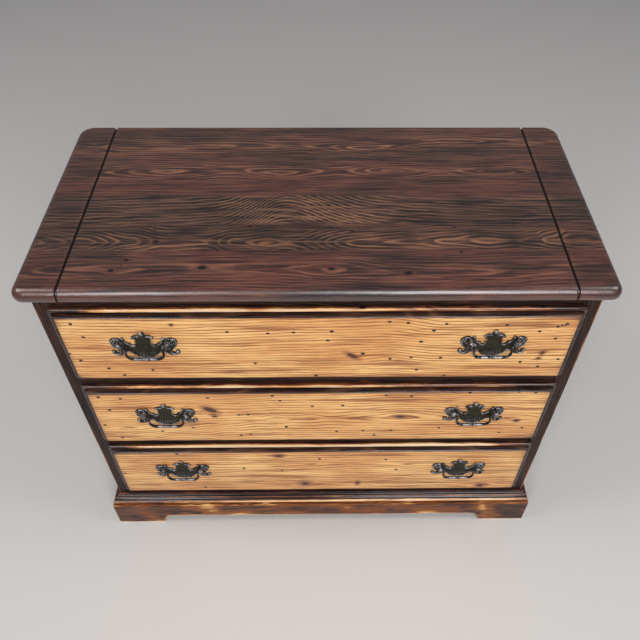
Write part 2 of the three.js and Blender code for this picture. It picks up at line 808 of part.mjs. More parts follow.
function drawerSideGeometry(side) {
  const inner = side * sideInner;
  const outer = side * drawerHalf;
  const floor = side * (sideInner + drawerGrooveDepth);
  const section = [
    [outer, sideBottom],
    [outer, sideTop],
    [inner, sideTop],
    [inner, grooveZs[1]],
    [floor, grooveZs[1]],
    [floor, grooveZs[0]],
    [inner, grooveZs[0]],
    [inner, sideBottom],
  ];
  const outline = side < 0 ? section.reverse() : section;
  let board = solidOf(extrudeAlongY(outline, [tailFront, drawerRear]));
  const heights = [sideBottom - cutOverrun, sideTop + cutOverrun];
  const widths = [sideInner - cutOverrun, drawerHalf + cutOverrun];
  const xs = side < 0 ? [-widths[1], -widths[0]] : widths;
  let gaps = solidOf(blockGeometry(xs, [tailFront - cutOverrun, sideFront], heights));
  const longXs = [xs[0] - cutOverrun, xs[1] + cutOverrun];
  for (const tail of tailSolids(longXs, [tailFront - 2 * cutOverrun, sideFront + cutOverrun], 0)) {
    gaps = gaps.subtract(tail);
  }
  board = board.subtract(gaps);
  const housingXs = [side * (sideInner - cutOverrun), side * (sideInner + drawerBackHousing)];
  const housingYs = [backFront - glueGap, backRear + glueGap];
  const housing = blockGeometry(housingXs.sort((a, b) => a - b), housingYs, heights);
  return geometryOf(board.subtract(solidOf(housing)));
}

// The back is housed in the sides, and its lower edge is notched to ride on the centre guide.
function drawerBackGeometry() {
  const half = sideInner + drawerBackHousing - glueGap;
  const notchHalf = guideWidth / 2 + guideSideGap;
  const notchTop = lipOverlap + guideRise + guideRunningGap;
  const outline = [
    [half, sideBottom],
    [half, sideTop],
    [-half, sideTop],
    [-half, sideBottom],
    [-notchHalf, sideBottom],
    [-notchHalf, notchTop],
    [notchHalf, notchTop],
    [notchHalf, sideBottom],
  ];
  const back = solidOf(extrudeAlongY(outline, [backFront, backRear]));
  const grooveYs = [backFront - cutOverrun, backFront + drawerGrooveDepth];
  const groove = blockGeometry([-half - cutOverrun, half + cutOverrun], grooveYs, grooveZs);
  return geometryOf(back.subtract(solidOf(groove)));
}

const frontShape = drawerFrontGeometry();
const sideShapes = { left: drawerSideGeometry(-1), right: drawerSideGeometry(1) };
const backShape = drawerBackGeometry();

drawerNames.forEach((name, k) => {
  const drawer = new THREE.Group();
  drawer.position.z = openingBottoms[k] - lipOverlap;
  chest.add(drawer);
  addMesh(drawer, `${name}_drawer_front`, frontShape, naturalPine);
  addMesh(drawer, `${name}_drawer_side_left`, sideShapes.left, plainPine);
  addMesh(drawer, `${name}_drawer_side_right`, sideShapes.right, plainPine);
  addMesh(drawer, `${name}_drawer_back`, backShape, plainPine);
  const panelYs = [frontRebate - drawerGrooveDepth + glueGap, backFront + drawerGrooveDepth - glueGap];
  addBoard(drawer, `${name}_drawer_bottom`, [-panelHalf, panelHalf], panelYs, panelZs, hardboard);
  addPull(drawer, `${name}_pull_left`, -pullOffset, postLine);
  addPull(drawer, `${name}_pull_right`, pullOffset, postLine);
});

chest.position.y = -depthCentre;

export default chest;
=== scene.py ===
import math

import bmesh
import bpy
import numpy as np
from mathutils import Matrix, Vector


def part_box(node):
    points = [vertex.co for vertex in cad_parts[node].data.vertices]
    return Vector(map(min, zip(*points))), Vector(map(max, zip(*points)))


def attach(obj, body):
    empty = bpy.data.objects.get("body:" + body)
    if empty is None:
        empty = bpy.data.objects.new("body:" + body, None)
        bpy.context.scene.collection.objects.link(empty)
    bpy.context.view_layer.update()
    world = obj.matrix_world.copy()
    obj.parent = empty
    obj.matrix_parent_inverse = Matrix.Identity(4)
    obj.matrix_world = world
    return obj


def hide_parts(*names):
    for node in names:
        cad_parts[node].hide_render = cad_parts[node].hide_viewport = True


# Three-drawer pine chest: stained case, golden drawer fronts, black bronze pulls.
# Settings are in millimetres, and every piece is scaled to metres when its mesh is made.

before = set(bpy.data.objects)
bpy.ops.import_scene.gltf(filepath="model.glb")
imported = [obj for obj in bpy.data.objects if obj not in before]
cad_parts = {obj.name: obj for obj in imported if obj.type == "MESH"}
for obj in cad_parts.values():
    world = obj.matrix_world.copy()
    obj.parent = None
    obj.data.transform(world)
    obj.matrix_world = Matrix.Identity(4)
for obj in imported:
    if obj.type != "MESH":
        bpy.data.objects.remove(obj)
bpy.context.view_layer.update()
mm = 0.001


def nodeBox(node):
    low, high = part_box(node)
    return np.array(low) / mm, np.array(high) / mm


faceY = nodeBox("stile_left")[0][1]  # front plane of the face frame
caseHalf = nodeBox("stile_right")[1][0]
backY = nodeBox("side_left")[1][1]
clearance = 0.3  # between the case and what is fixed to it
drawerNames = ("upper", "middle", "lower")


def newObject(name, data):
    made = bpy.data.objects.new(name, data)
    bpy.context.scene.collection.objects.link(made)
    return made


# Turns an object to its right, up and back axes at a place in metres.
def setPose(made, *columns):
    made.matrix_world = Matrix(np.vstack([np.column_stack(columns), [0, 0, 0, 1]]).tolist())


# Camera

camera = {
    "place": (10.5, -879.7, 1486.5), "pitch": 45.497, "yaw": 1.104, "roll": 0.593,
    "focalPixels": 673.49, "centre": (334.69, 271.71), "side": 640, "sensor": 36.0, "near": 0.05,
}


# Right, up and forward: forward from yaw and pitch, then right and up turned by the roll.
def cameraAxes():
    pitch, yaw, roll = (math.radians(camera[key]) for key in ("pitch", "yaw", "roll"))
    level = np.array([math.cos(yaw), -math.sin(yaw), 0])
    ahead = np.array([math.sin(yaw), math.cos(yaw), 0]) * math.cos(pitch) - [0, 0, math.sin(pitch)]
    above = np.cross(level, ahead)
    right = level * math.cos(roll) + above * math.sin(roll)
    up = above * math.cos(roll) - level * math.sin(roll)
    return right, up, ahead


# Where the sight line of each picture point meets the plane axis = height.
def onPlane(pixels, axis, height):
    right, up, ahead = cameraAxes()
    offset = (np.array(pixels, float) - camera["centre"]) / camera["focalPixels"]
    rays = ahead + offset[:, :1] * right - offset[:, 1:] * up
    start = np.array(camera["place"])
    return start + rays * ((height - start[axis]) / rays[:, axis])[:, None]


def addCamera():
    lens = bpy.data.cameras.new("camera")
    side, centre = camera["side"], camera["centre"]
    lens.sensor_width = camera["sensor"]
    lens.lens = camera["focalPixels"] / side * camera["sensor"]
    lens.shift_x = (side / 2 - centre[0]) / side
    lens.shift_y = (centre[1] - side / 2) / side
    lens.clip_start = camera["near"]
    holder = newObject("camera", lens)
    right, up, ahead = cameraAxes()
    setPose(holder, right, up, -ahead, np.array(camera["place"]) * mm)
    bpy.context.scene.camera = holder


addCamera()
bpy.context.scene.view_settings.view_transform = "Standard"
print("camera placed")


# Mesh helpers

# Joins a stack of equal loops into one closed skin; both ends are capped.
def loftShell(rings):
    stations, count, _ = rings.shape
    points = rings.reshape(-1, 3)
    low = np.arange(stations - 1)[:, None] * count
    here = np.arange(count)
    beside = (here + 1) % count
    quads = np.stack([low + here, low + beside, low + count + beside, low + count + here], -1).reshape(-1, 4)
    ends = [here[::-1], here + (stations - 1) * count]
    corners = [quads[:, [0, 1, 2]], quads[:, [0, 2, 3]]]
    corners += [np.stack([np.full(count - 2, cap[0]), cap[1:-1], cap[2:]], -1) for cap in ends]
    a, b, c = (points[np.concatenate(corners)[:, k]] for k in range(3))
    faces = quads.tolist() + [cap.tolist() for cap in ends]
    # the enclosed volume is negative when the loops run the other way
    if np.sum(a * np.cross(b, c)) < 0:
        faces = [face[::-1] for face in faces]
    return points, faces


def joinShells(shells):
    points, faces, start = [], [], 0
    for shellPoints, shellFaces in shells:
        points.append(shellPoints)
        faces += [[k + start for k in face] for face in shellFaces]
        start += len(shellPoints)
    return np.concatenate(points), faces


# A mesh with its seams and poles closed. A single value or vector holds for every point.
def newMesh(name, shell, values):
    points, faces = shell
    mesh = bpy.data.meshes.new(name)
    mesh.from_pydata((points * mm).tolist(), [], faces)
    for key, value in values.items():
        vector = np.shape(value)[-1:] == (3,)
        table = np.asarray(value, np.float32).reshape(-1, 3 if vector else 1)
        table = np.broadcast_to(table, (len(points), table.shape[1]))
        layer = mesh.attributes.new(key, "FLOAT_VECTOR" if vector else "FLOAT", "POINT")
        layer.data.foreach_set("vector" if vector else "value", table.ravel())
    work = bmesh.new()
    work.from_mesh(mesh)
    bmesh.ops.remove_doubles(work, verts=work.verts, dist=2e-6)
    bmesh.ops.dissolve_degenerate(work, edges=work.edges, dist=1e-7)
    work.to_mesh(mesh)
    work.free()
    return mesh


def addPiece(name, material, shell, values, node, body="chest", smoothAngle=40):
    mesh = newMesh(name, shell, values)
    mesh.materials.append(material)
    mesh.shade_smooth()
    mesh.set_sharp_from_angle(angle=math.radians(smoothAngle))
    piece = newObject(name, mesh)
    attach(piece, body)
    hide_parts(node)


# Value between named stations, level at each of them (smooth step between).
def eased(x, stations, values):
    index = np.clip(np.searchsorted(stations, x) - 1, 0, len(stations) - 2)
    share = smoothStep(x, stations[index], stations[index + 1])
    return values[index] * (1 - share) + values[index + 1] * share


def smoothStep(x, low, high):
    share = np.clip((x - low) / (high - low), 0, 1)
    return share * share * (3 - 2 * share)


# Slow unevenness: five sine waves along the grain, each drifting in phase across it.
def wander(along, across, seed, size, lengthAlong, lengthAcross):
    total = 0
    for k, (first, second) in enumerate(np.random.default_rng(seed).uniform(0, 2 * np.pi, (5, 2)), 1):
        drift = np.sin(np.pi * k * across / lengthAcross + second)
        total = total + np.sin(2 * np.pi * k * along / lengthAlong + first + 1.5 * drift) / k
    return total * size / 2


def halfRound(reach, lift, radius, start, end, steps):
    angle = np.linspace(start, end, steps + 1)
    return np.column_stack([reach + radius * np.cos(angle), lift + radius * np.sin(angle)])


# Materials

def paint(red, green, blue):
    share = np.array([red, green, blue]) / 255
    return tuple(np.where(share > 0.04045, ((share + 0.055) / 1.055) ** 2.4, share / 12.92)) + (1.0,)


# A material's nodes, with a short way to add each kind that is used here.
class Graph:
    def __init__(self, name):
        self.material = bpy.data.materials.new(name)
        self.material.use_nodes = True
        self.tree = self.material.node_tree
        self.sockets = self.tree.nodes["Principled BSDF"].inputs
        self.place = self.node("ShaderNodeTexCoord", {}).outputs["Object"]

    def node(self, kind, inputs, **settings):
        made = self.tree.nodes.new(kind)
        for key, value in settings.items():
            setattr(made, key, value)
        for key, value in inputs.items():
            if isinstance(value, bpy.types.NodeSocket):
                self.tree.links.new(value, made.inputs[key])
            else:
                made.inputs[key].default_value = value
        return made

    def maths(self, operation, *values, clamp=False):
        inputs = dict(enumerate(values))
        return self.node("ShaderNodeMath", inputs, operation=operation, use_clamp=clamp).outputs[0]

    def times(self, first, second, extra=0.0, clamp=False):
        return self.maths("MULTIPLY_ADD", first, second, extra, clamp=clamp)

    def plus(self, first, second, clamp=False):
        return self.maths("ADD", first, second, clamp=clamp)

    def remap(self, value, low, high, newLow=0.0, newHigh=1.0):
        inputs = {"Value": value, "From Min": low, "From Max": high, "To Min": newLow, "To Max": newHigh}
        return self.node("ShaderNodeMapRange", inputs, interpolation_type="SMOOTHSTEP").outputs[0]

    def mix(self, factor, first, second, kind="MIX"):
        inputs = {0: factor, 6: first, 7: second}
        return self.node("ShaderNodeMix", inputs, data_type="RGBA", blend_type=kind).outputs[2]

    # The base takes on a colour as a value goes from low to high.
    def tint(self, base, colour, value, low, high, most=1.0):
        return self.mix(self.remap(value, low, high, 0.0, most), base, colour)

    def ramp(self, value, stops):
        made = self.node("ShaderNodeValToRGB", {"Fac": value})
        band = made.color_ramp.elements
        while len(band) < len(stops):
            band.new(0.5)
        for element, (place, grey) in zip(band, stops):
            element.position = place
            element.color = (grey, grey, grey, 1)
        return made.outputs[0]

    def noise(self, stretch, scale, detail=4.0, offset=(0, 0, 0)):
        inputs = {"Vector": self.place, "Scale": stretch, "Location": offset}
        mapped = self.node("ShaderNodeMapping", inputs).outputs[0]
        inputs = {"Vector": mapped, "Scale": scale, "Detail": detail}
        return self.node("ShaderNodeTexNoise", inputs).outputs[0]

    def read(self, name, output="Fac"):
        return self.node("ShaderNodeAttribute", {}, attribute_name=name).outputs[output]

    def parts(self, vector):
        return self.node("ShaderNodeSeparateXYZ", {"Vector": vector}).outputs

    # How far a mark's vector reaches from its centre, made uneven by a noise value.
    def markDistance(self, name, noise, unevenness):
        u, v, near = self.parts(self.read(name, "Vector"))
        distance = self.maths("SQRT", self.plus(self.times(u, u), self.times(v, v)))
        ragged = self.plus(distance, self.times(noise, unevenness, -unevenness / 2))
        return ragged, self.maths("GREATER_THAN", near, 0.5)

    def finish(self, colour, roughness, height, depth, constants):
        bump = self.node("ShaderNodeBump", {"Height": height, "Strength": 1.0, "Distance": depth}).outputs[0]
        for key, value in (("Base Color", colour), ("Roughness", roughness), ("Normal", bump)):
            self.tree.links.new(value, self.sockets[key])
        for key, value in constants.items():
            self.sockets[key].default_value = value
        return self.material


pineLook = {
    "cream": paint(250, 200, 128), "honey": paint(218, 150, 82), "amber": paint(130, 62, 24),
    "rust": paint(132, 68, 34), "smoke": paint(78, 50, 32), "bleached": paint(244, 212, 176),
    "knot": paint(60, 24, 14), "pit": paint(18, 10, 8), "black": paint(8, 6, 6),
    "thinStain": paint(160, 128, 116),
    "stainDark": paint(22, 15, 16), "stainMid": paint(78, 52, 46), "stainRed": paint(90, 45, 37),
    "lineTan": paint(158, 112, 80), "lineRed": paint(132, 82, 64),
    "insidePale": paint(226, 196, 148), "insideLine": paint(186, 136, 84),
    "insideStreak": paint(170, 122, 78), "insideFibre": paint(140, 96, 60),
}


# Pine with an optional dark stain, thinned and then rubbed through as "wear" rises.
# "figure" counts growth rings, so its fraction runs from early wood to late wood.
def pineMaterial(name, grainAxis, finish):
    look, g = pineLook, Graph(name)

    def grain(share, scale, detail, offset):
        return g.noise([share if k == grainAxis else 1.0 for k in range(3)], scale, detail, offset)

    fibre = grain(0.05, 620.0, 3.0, (0, 0, 0))
    streak = grain(0.04, 120.0, 4.0, (3.1, 1.7, 0.4))
    cloud = grain(0.35, 14.0, 3.0, (0.3, 5.2, 2.6))
    patch = grain(0.25, 60.0, 5.0, (7.7, 0.9, 3.3))
    hair = grain(0.05, 260.0, 5.0, (1.3, 4.4, 2.1))
    ring = g.maths("FRACT", g.plus(g.read("figure"), g.times(streak, 0.4, -0.2)))
    late = g.ramp(ring, [(0.0, 0.3), (0.08, 0.0), (0.6, 0.05), (0.82, 0.9), (0.93, 1.0), (1.0, 0.3)])
    red, lines, dark = g.parts(g.read("tone", "Vector"))
    # golden wood: pale early wood, orange late lines of uneven strength, weathered streaks
    golden = g.tint(look["cream"], look["honey"], cloud, 0.38, 0.62, 0.7)
    golden = g.tint(golden, look["honey"], streak, 0.42, 0.62, 0.6)
    golden = g.mix(g.times(late, g.remap(patch, 0.35, 0.62, 0.45, 1.0)), golden, look["amber"])
    golden = g.tint(golden, look["rust"], streak, 0.54, 0.68, 0.75)
    golden = g.tint(golden, look["rust"], fibre, 0.48, 0.7, 0.4)
    ragged = g.times(g.read("shade"), g.remap(patch, 0.35, 0.6, 0.45, 1.3), clamp=True)
    golden = g.mix(ragged, golden, g.mix(ragged, look["rust"], look["smoke"]))
    # stained wood: bands, darker as the third tone rises, between tan or reddish lines
    light = g.plus(g.remap(streak, 0.38, 0.62), g.maths("SUBTRACT", 1.0, dark), clamp=True)
    stained = g.mix(light, look["stainDark"], look["stainMid"])
    stained = g.mix(g.times(red, g.remap(cloud, 0.35, 0.6, 0.25, 1.0)), stained, look["stainRed"])
    line = g.mix(red, look["lineTan"], look["lineRed"])
    stained = g.mix(g.times(lines, g.remap(hair, 0.5, 0.32, 0.0, 0.5)), stained, line)
    stained = g.tint(stained, look["stainDark"], hair, 0.48, 0.64, 0.8)
    strength = g.times(lines, g.remap(patch, 0.35, 0.62, 0.2, 1.0))
    stained = g.mix(g.times(late, strength, clamp=True), stained, line)
    stained = g.tint(stained, look["black"], cloud, 0.5, 0.36, 0.35)
    stained = g.tint(stained, look["black"], fibre, 0.5, 0.75, 0.45)
    # rubbed: first a thin amber stain, then bare wood, then polished pale
    worn = g.plus(g.read("wear"), g.times(patch, 1.2, -0.6))
    stained = g.tint(stained, g.mix(1.0, golden, look["thinStain"], "MULTIPLY"), worn, 0.2, 0.42)
    share = g.times(g.read("stain"), g.remap(worn, 0.5, 0.7, 1.0, 0.0))
    colour = g.mix(share, g.tint(golden, look["bleached"], worn, 0.66, 0.95, 0.75), stained)
    # knots and worm holes: the vector runs from the mark's centre in half widths
    distance, near = g.markDistance("knot", patch, 1.3)
    halo = g.times(near, g.remap(distance, 0.9, 2.4, 0.65, 0.0))
    core = g.times(near, g.remap(distance, 0.65, 1.1, 0.95, 0.0))
    colour = g.mix(halo, colour, g.mix(share, look["rust"], look["stainRed"]))
    colour = g.mix(core, colour, g.mix(share, look["knot"], look["black"]))
    distance, near = g.markDistance("fleck", fibre, 1.2)
    pit = g.times(near, g.remap(distance, 0.85, 1.15, 1.0, 0.0))
    # painted shade: grooves and quirks are mixed towards black here, and made rougher
    recessShade = g.read("recessShade")
    colour = g.mix(recessShade, g.mix(pit, colour, look["pit"]), look["black"])
    gloss = g.times(share, finish["stained"] - finish["golden"], finish["golden"])
    roughness = g.times(recessShade, 0.5, g.plus(gloss, g.times(patch, 0.16, -0.08)))
    height = g.times(cloud, finish["waves"], g.times(late, 0.35, g.times(fibre, 0.25)))
    return g.finish(colour, roughness, g.times(pit, -3.0, height), 0.00018, finish["sockets"])


# Unstained inside wood: growth rings from the place itself, bent by slow noise.
def plainPineMaterial(name, grainAxis):
    look, g = pineLook, Graph(name)

    def grain(share, scale, detail):
        return g.noise([share if k == grainAxis else 1.0 for k in range(3)], scale, detail)

    split = g.parts(g.place)
    first, second = (split[k] for k in range(3) if k != grainAxis)
    fibre, streak = grain(0.05, 600.0, 3.0), grain(0.05, 90.0, 4.0)
    across = g.times(first, 160.0, g.times(second, 210.0))
    ring = g.maths("FRACT", g.times(grain(0.15, 9.0, 2.0), 14.0, across))
    late = g.ramp(ring, [(0.0, 0.2), (0.08, 0.0), (0.5, 0.1), (0.85, 1.0), (0.96, 1.0), (1.0, 0.2)])
    colour = g.mix(g.times(late, 0.6), look["insidePale"], look["insideLine"])
    colour = g.tint(colour, look["insideStreak"], streak, 0.5, 0.8, 0.5)
    colour = g.tint(colour, look["insideFibre"], fibre, 0.5, 0.85, 0.25)
    return g.finish(colour, g.times(fibre, 0.2, 0.55), g.times(late, 0.4, fibre), 0.00015, {})


# Pressed board: fine felted fibres, smooth face, slightly mottled.
def hardboardMaterial(name):
    g = Graph(name)
    felt = g.noise((1.0, 1.0, 1.0), 900.0, 6.0)
    colour = g.tint(paint(112, 78, 50), paint(150, 110, 74), felt, 0.3, 0.7)
    colour = g.tint(colour, paint(98, 66, 42), g.noise((1.0, 1.0, 1.0), 22.0), 0.35, 0.7, 0.5)
    colour = g.tint(colour, paint(176, 138, 98), g.noise((1.0, 0.2, 1.0), 420.0, 3.0), 0.6, 0.8, 0.5)
    return g.finish(colour, g.times(felt, 0.25, 0.5), felt, 0.0002, {})


# Blackened bronze: dark olive ground, rubbed to grey on the raised parts.
def bronzeMaterial(name):
    g = Graph(name)
    speck = g.noise((1.0, 1.0, 1.0), 900.0, 5.0)
    smoke = g.noise((1.0, 1.0, 1.0), 160.0, 4.0, (2.2, 0.5, 4.0))
    raised = g.read("raised")
    ground = g.tint(paint(44, 41, 31), paint(64, 58, 44), smoke, 0.35, 0.65)
    black = g.tint(paint(22, 21, 22), paint(50, 50, 54), speck, 0.4, 0.7)
    rubbed = g.times(smoke, 0.8, g.times(raised, 0.6))
    colour = g.tint(g.tint(ground, black, raised, 0.05, 0.6), paint(150, 148, 152), rubbed, 0.85, 1.05)
    roughness = g.times(speck, 0.25, g.times(raised, -0.18, 0.36))
    return g.finish(colour, roughness, g.plus(speck, smoke), 0.00025, {"Metallic": 0.8})


# Roughness of stained and golden wood, height of the slow waves, and the varnish.
finishes = {
    "top": {"stained": 0.5, "golden": 0.5, "waves": 3.5, "sockets": {
        "Specular IOR Level": 0.15, "Coat Weight": 1.0, "Coat Roughness": 0.25, "Coat IOR": 1.7}},
    "moulded": {"stained": 0.26, "golden": 0.42, "waves": 1.4, "sockets": {
        "Specular IOR Level": 0.2, "Coat Weight": 0.4, "Coat Roughness": 0.12, "Coat IOR": 1.7}},
    "case": {"stained": 0.35, "golden": 0.45, "waves": 2.0, "sockets": {
        "Specular IOR Level": 0.12, "Coat Weight": 0.06, "Coat Roughness": 0.16, "Coat IOR": 1.5}},
}
pineTop = pineMaterial("polished_stained_pine", 0, finishes["top"])
pineOfGrain = [
    pineMaterial(f"stained_pine_{word}_grain", axis, finishes["case"])
    for axis, word in enumerate(("long", "side", "upright"))
]
pineMoulded = pineMaterial("glossy_stained_pine", 0, finishes["moulded"])
pineMouldedSide = pineMaterial("glossy_stained_pine_side_grain", 1, finishes["moulded"])
bronze = bronzeMaterial("dark_bronze")
print("materials made")


# Wood figure

# Picture points moved onto the plane axis = height: X, the other coordinate, then the given sizes.
def pixelMarks(marks, axis, height):
    table = np.array([tuple(mark) + (0.0,) * (5 - len(mark)) for mark in marks], float)
    spots = onPlane(table[:, :2], axis, height)
    return np.column_stack([spots[:, 0], spots[:, 3 - axis], table[:, 2:]])


# Vector from the nearest mark in its own half widths; the third part is 1 within reach.
def nearestMark(along, across, marks, reach):
    du = along[..., None] - marks[:, 0]
    dv = across[..., None] - marks[:, 1]
    cosine, sine = np.cos(marks[:, 4]), np.sin(marks[:, 4])
    u = (du * cosine + dv * sine) / marks[:, 2]
    v = (dv * cosine - du * sine) / marks[:, 3]
    nearest = np.argmin(u * u + v * v, axis=-1)[..., None]
    u, v, du, dv = (np.take_along_axis(part, nearest, -1) for part in (u, v, du, dv))
    return np.concatenate([u, v, np.hypot(du, dv) < reach], -1)


# The grain swerves round each knot: nearby lines are pushed off its centre.
def bendRoundKnots(along, across, marks):
    pushed = across.copy()
    for u, v, _, halfWide, _ in marks:
        du, dv = along - u, across - v
        pushed -= dv * (1.7 * halfWide) ** 2 / (dv ** 2 + (du / 2.6) ** 2 + (1.5 * halfWide) ** 2)
    return pushed


# Ring count: a power of the distance from the heart line, plus the heart's own depth in rings,
# which is felt less and less farther out. The rings lie one pitch apart on average over "spread".
def heartFigure(along, across, heart, pitch, power, seed, felt=26.0, spread=60.0):
    centre = eased(along, heart[:, 0], heart[:, 1])
    depth = eased(along, heart[:, 0], heart[:, 2])
    away = np.sqrt((across - centre) ** 2 + 1.0)
    waves = wander(along, across, seed, 0.45, 420, 90) + wander(along, across, seed + 50, 0.08, 110, 30)
    middle = heart[:, 2].mean()
    depth = middle + (depth - middle) * np.exp(-((away / felt) ** 1.5))
    return spread / pitch * (away / spread) ** power + depth + waves, away


# Top board: a half-round edge runs along the front and both ends.

topLow, topHigh = nodeBox("top_board")
topBoard = {
    "pitch": 6.2, "power": 1.4, "felt": (26.0, 24.0, 0, 300.0, 26.0), "funnelPitch": 8.2,
    "cell": 4.6, "noseSteps": 26, "endSteps": 11, "underSteps": 8, "unevenness": 0.3, "arris": 0.8,
    "cornerRadius": 18.0, "cornerSteps": 8, "drawnIn": 48.0,
    # grooves: where they lie, the steps beside their edges, and the nose angles where they begin
    "grooveInset": 70.0, "grooveHalf": 2.25, "grooveDepth": 3.5, "grooveSteps": (1.4, 0.6, 0.0, -0.35),
    "grooveClear": 2.2, "grooveStart": (-0.9, -0.55),
    # glue joints between the boards, as rows of the picture at its middle
    "jointRows": (160.0, 195.8, 223.1, 250.0), "jointColumn": 330.0, "jointHalf": 0.12, "jointClear": 1.2,
    # redness, strength of the lines and darkness between them for each board, from the back
    "tones": ((0.4, 1.2, 0.75), (0.65, 1.3, 0.7), (0.05, 1.3, 1.05), (0.25, 1.3, 0.95), (0.8, 1.2, 0.7)),
    # places rubbed thin: picture point, half length, half width and amount
    "rubbed": (
        (289, 206, 17, 8, 0.4), (299, 219, 17, 6, 0.4), (300, 189, 40, 3, 0.26), (185, 243, 34, 5, 0.28),
        (268, 243, 20, 4, 0.24), (120, 284, 90, 4, 0.26),
    ),
    # picture points along each board's heart, with the depth there in rings; the third board has
    # a branch funnel, given by its place and the rings that turn up, half width left and right
    "hearts": (
        ((20, 148, 3.5), (172, 147, 1.5), (300, 146, 2.6), (358, 148, 0.6), (450, 141, 1.8), (620, 146, 3.4)),
        ((20, 173, 5), (100, 172.5, 4), (172.6, 171.6, 1.6), (230, 171, 3.2), (284, 173, 1.2), (340, 171, 3),
         (395.4, 171.4, 0.8), (440, 171, 2.4), (495, 172, 0.2), (560, 172, 2.5), (630, 172, 4)),
        ((288, 196, 11.0, 62.0, 95.0),),
        ((20, 243, 3), (80, 243, 5.5), (130, 242.5, 8.4), (165, 242.5, 10.3), (205, 242.5, 10.3),
         (235, 242.5, 8.3), (268, 243, 7), (286, 243, 7.5), (365, 243, 2.5), (420, 241.5, 1.2),
         (446, 241.3, 0.4), (485, 241, -0.7), (515, 241, -0.1), (536, 240.5, -0.9), (551, 240, -1.9),
         (574, 239, -3), (640, 239, -1)),
        ((10, 270, 3), (120, 268, 1.6), (200, 267, 2.6), (330, 269, 1.2), (410, 272, 2.2), (640, 268, 3.5)),
    ),
    # knots: picture point, half length and half width
    "knots": (
        (250.4, 226.3, 5, 3.4), (155.7, 242, 5, 4), (155.7, 229, 3, 2), (353, 231.7, 3.5, 2.2),
        (126.3, 260, 4.5, 3.5), (110.5, 270.5, 5.5, 4), (202, 267.3, 8, 5), (331.4, 269, 6, 4),
        (408.4, 272.9, 7, 4.5), (454, 227, 3, 2), (461.5, 251.8, 3.5, 2), (434.4, 182.4, 2.5, 1.6),
    ),
}


def topJoints():
    return onPlane([(topBoard["jointColumn"], row) for row in topBoard["jointRows"]], 2, topHigh[2])[:, 1]


# Board by board: each glued strip has its own heart; one strip has a branch funnel at its rear joint.
def topFigure(along, across):
    t = topBoard
    strip = np.searchsorted(-topJoints(), -across)
    knots = pixelMarks(t["knots"], 2, topHigh[2])
    bent = bendRoundKnots(along, across, knots)
    figure, fineness = np.zeros_like(along), np.zeros_like(along)
    for k, heart in enumerate(t["hearts"]):
        chosen = strip == k
        points = pixelMarks(heart, 2, topHigh[2])
        u, v = along[chosen], bent[chosen]
        if len(heart) == 1:
            place, rear, rings, left, right = points[0]
            reach = u - place
            leftSide, rightSide = np.abs(reach / left) ** 2.6, np.abs(reach / right) ** 1.8
            bump = rings / (1 + np.where(reach < 0, leftSide, rightSide))
            figure[chosen] = (rear - v) / t["funnelPitch"] + bump + wander(u, v, 30, 0.35, 240, 70)
            fineness[chosen] = 0.4 + 0.6 * np.exp(-((reach - 40) / 130) ** 2)
        else:
            rings, away = heartFigure(u, v, points, t["pitch"], t["power"], 11 + k, t["felt"][k])
            figure[chosen] = rings
            fineness[chosen] = 0.42 + 0.58 * np.exp(-(away / 20) ** 2)
    tone = np.array(t["tones"])[strip]
    fromGroove = np.abs(along) - topHigh[0] + t["grooveInset"]
    tone[..., 1] *= fineness * (1 - 0.45 * smoothStep(fromGroove, 0, 15))
    thinned = 0
    for u, v, halfLong, halfWide, amount in pixelMarks(t["rubbed"], 2, topHigh[2]):
        thinned = thinned + amount * np.exp(-((along - u) / halfLong) ** 4 - ((across - v) / halfWide) ** 2)
    return figure, tone, nearestMark(along, across, knots, 16), thinned


# Square plan corners are made round: in front each square line about the corner's centre becomes
# an arc, and behind the ends draw in along an arc that fades out towards the grooves.
def roundCorners(x, y, halfWidth, front, back, nose):
    radius = topBoard["cornerRadius"]
    side = np.abs(x) - (halfWidth - radius)
    ahead = front + radius - y
    corner = (side > 0) & (ahead > 0)
    pull = np.where(corner, np.maximum(side, ahead) / np.maximum(np.hypot(side, ahead), 1e-6), 1.0)
    newX = np.where(corner, halfWidth - radius + side * pull, np.abs(x))
    newY = np.where(corner, front + radius - ahead * pull, y)
    share = np.clip((y - back + radius) / radius, 0, 1)
    fade = smoothStep(np.abs(x), halfWidth - nose - topBoard["drawnIn"], halfWidth - nose)
    newX = newX - radius * (1 - np.sqrt(1 - share ** 2)) * fade
    return np.sign(x) * newX, newY


